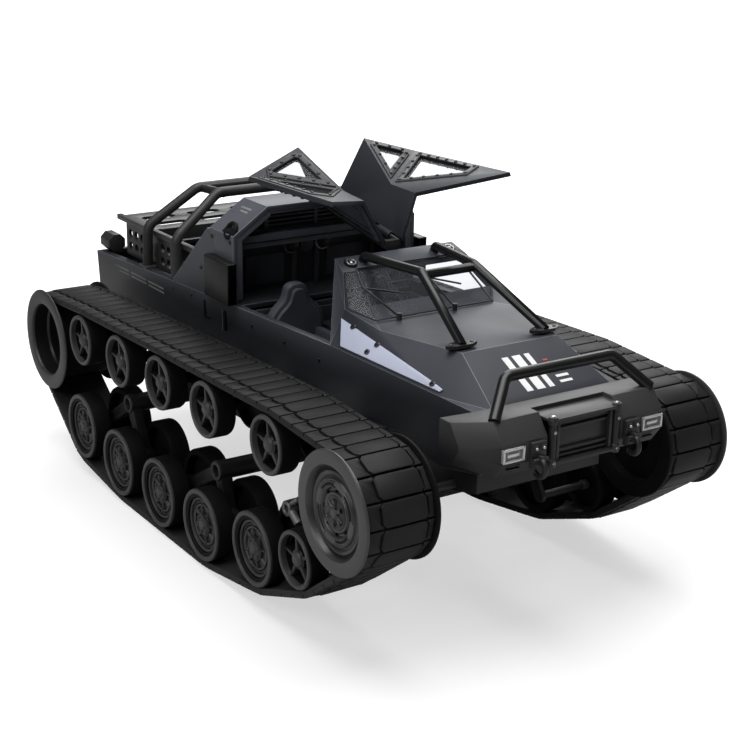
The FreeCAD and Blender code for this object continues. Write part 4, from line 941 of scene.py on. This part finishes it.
def make_lamps_and_hooks():
    """Bar lamps with bright rims, and the bolts, screws and pins of the tow hooks."""
    lens, steel, black = new_meshes(3)
    rim = (196.6, 198.6)
    for _, side in SIDES:
        sided_boxes(steel, side,
                    (rim, (34.9, 46.7), (105.2, 106.2), 0.3), (rim, (34.9, 46.7), (110.8, 111.8), 0.3),
                    (rim, (34.7, 35.8), (105.2, 111.8), 0.3), (rim, (45.8, 46.9), (105.2, 111.8), 0.3),
                    ((196.6, 198.1), (37.4, 44.2), (107.7, 109.3), 0.35))
        sided_boxes(lens, side, ((193.4, 197.4), (35.2, 46.4), (105.6, 111.4), 0.2))
        # Two near-black bars under each lamp: painted shade standing for the slots there.
        sided_boxes(black, side, *[((191, 196.9), (36, 43), (z, z + 0.7), 0.2) for z in (102.4, 100.8)])
        for y in (25.5, 29.7):
            add_hex(black, (199.4, side * y, 109.9), (1, 0, 0), 1.45, 1)
            add_screw(steel, (200.2, side * y, 109.9), (1, 0, 0), 0.7, 0.5)
        add_bar(black, [(200.6, side * 23.4, 104.6), (200.6, side * 31.8, 104.6)], 0.95, 14)
    finish(lens, "lamp_reflectors", LENS, "lamp_lens", "head_lamps")
    finish(steel, "lamp_rims", CHROME, "steel")
    finish(black, "hook_bolts", BLACK, "black_plastic")


def make_underside_trim():
    """Eye rings and ribs on the bogie arms, and the tension links in front of the last road wheels."""
    ring, dark, steel = new_meshes(3)
    for side_name, side in SIDES:
        axis = (0, side, 0)
        for (px, pz), pair in (((-92, 52), (1, 2)), ((16, 48), (3, 4))):
            add_lathe(ring, (px, side * 91.5, pz), axis,
                      ((3.3, -0.6), (3.3, 0.6), (3.7, 0.9), (5, 0.9), (5.4, 0.5), (5.4, -0.6)), 36)
            pivot = Vector((px, side * 91.2, pz))
            for number in pair:
                x, z = wheel_centre(side_name, f"road_wheel_{number}")
                run = Vector((x - px, 0, z - pz)).normalized()
                across = Vector((-run.z, 0, run.x))
                for shift in (-2.6, 2.6):
                    add_bar(ring, [pivot + run * 6.4 + across * shift,
                                   pivot + run * 26 + across * shift * 0.7], 0.45, 8)
        hub = Vector((95, side * 94, 57))
        add_lathe(steel, hub, axis, ((2, -2.5), (2, 1.6), (2.4, 2), (3.6, 2), (4, 1.6), (4, -2.5)), 28)
        add_bar(steel, [hub + Vector((3, 0, -1)), hub + Vector((9, 0, -5))], 2.2)
        add_bar(steel, [hub + Vector((2, 0, 3)), hub + Vector((9, 0, 8))], 1.3)
        add_bar(dark, [hub, (hub.x, side * 40.2, hub.z)], 1.6, 14)
    # The eye rings and ribs are in the lighter rib copy of the plastic, a painted highlight.
    finish(ring, "bogie_ribs", RIB, "black_plastic")
    finish(steel, "tension_links", ALLOY, "steel")
    finish(dark, "tension_shafts", BLACK, "steel")


# ------ stage, light and camera

WHITE_LIGHT = (1, 1, 1, 1)
FLOOR_GLOW, WORLD_GLOW = 0.6, 0.06
TOP_POWER, REAR_POWER, FILL_POWER = 20, 9, 5


def make_stage():
    """A pale floor; the camera also sees it glow, more so with the distance from the vehicle."""
    bm = bmesh.new()
    bmesh.ops.create_grid(bm, x_segments=1, y_segments=1, size=6)
    mesh = to_mesh(bm, "floor")
    made, tree, shader, coords = new_material("pale_floor")
    reach = node(tree, "VectorMath", {0: coords}, operation="LENGTH").outputs["Value"]
    glow = node(tree, "MapRange", {"Value": reach, "From Min": 0.18, "From Max": 0.6, "To Min": FLOOR_GLOW,
                                   "To Max": 1.1})
    by_camera = node(tree, "LightPath", {}).outputs["Is Camera Ray"]
    seen = node(tree, "Math", {0: glow.outputs[0], 1: by_camera}, operation="MULTIPLY")
    feed(tree, shader, {"Base Color": (0.45, 0.45, 0.45, 1), "Roughness": 0.9, "Specular IOR Level": 0.1,
                        "Emission Color": WHITE_LIGHT, "Emission Strength": seen.outputs[0]})
    mesh.materials.append(made)
    floor = linked("floor", mesh)


def area_light(name, spot, size, power):
    """A rectangular lamp that faces the middle of the vehicle."""
    lamp = bpy.data.lights.new(name, "AREA")
    lamp.shape = "RECTANGLE"
    lamp.size, lamp.size_y = size
    lamp.energy = power
    holder = linked(name, lamp)
    holder.location = spot
    holder.rotation_euler = (Vector((0, 0, 0.1)) - Vector(spot)).to_track_quat("-Z", "Y").to_euler()


def make_light():
    world = bpy.data.worlds.new("studio")
    bpy.context.scene.world = world
    world.use_nodes = True
    tree = world.node_tree
    by_camera = node(tree, "LightPath", {}).outputs["Is Camera Ray"]
    span = node(tree, "MapRange", {"Value": by_camera, "To Min": WORLD_GLOW, "To Max": 1.2})
    feed(tree, tree.nodes["Background"], {"Color": WHITE_LIGHT, "Strength": span.outputs[0]})
    area_light("overhead", (0.1, 0, 1.3), (1.3, 1.1), TOP_POWER)
    area_light("rear_left", (-0.85, 0.75, 0.85), (1, 0.8), REAR_POWER)
    area_light("right_side", (0.35, -1.1, 0.95), (1.2, 0.5), FILL_POWER)
    view = bpy.context.scene.view_settings
    view.view_transform = "Standard"
    view.look = "None"


def make_camera():
    """Three-quarter front view from the right, with the solved distance, offset and roll."""
    azimuth, elevation, roll = (radians(v) for v in (56.18, 18.69, 1.06))
    distance, shift_x, shift_y = 898, -21.91, -73.72
    back = Vector((sin(azimuth) * cos(elevation), -cos(azimuth) * cos(elevation), sin(elevation)))
    right = (-back).cross(Vector((0, 0, 1))).normalized()
    up = right.cross(-back)
    across = right * cos(roll) + up * sin(roll)
    above = up * cos(roll) - right * sin(roll)
    spot = back * distance - across * shift_x - above * shift_y - Vector((10, 0, 0))
    lens = bpy.data.cameras.new("camera")
    lens.lens, lens.sensor_width = 74.45, 36
    lens.clip_start, lens.clip_end = 0.01, 50
    camera = linked("camera", lens)
    turn = Matrix((across, above, back)).transposed().to_4x4()
    camera.matrix_world = Matrix.Translation(spot * MM) @ turn
    bpy.context.scene.camera = camera


make_wheels()
make_belts()
make_shells()
make_door_trim()
make_bulkhead_trim()
make_side_trim()
make_hood_marks()
make_hood_trim()
make_seats()
make_header_caps()
make_winch()
make_lamps_and_hooks()
make_underside_trim()
make_stage()
make_light()
make_camera()
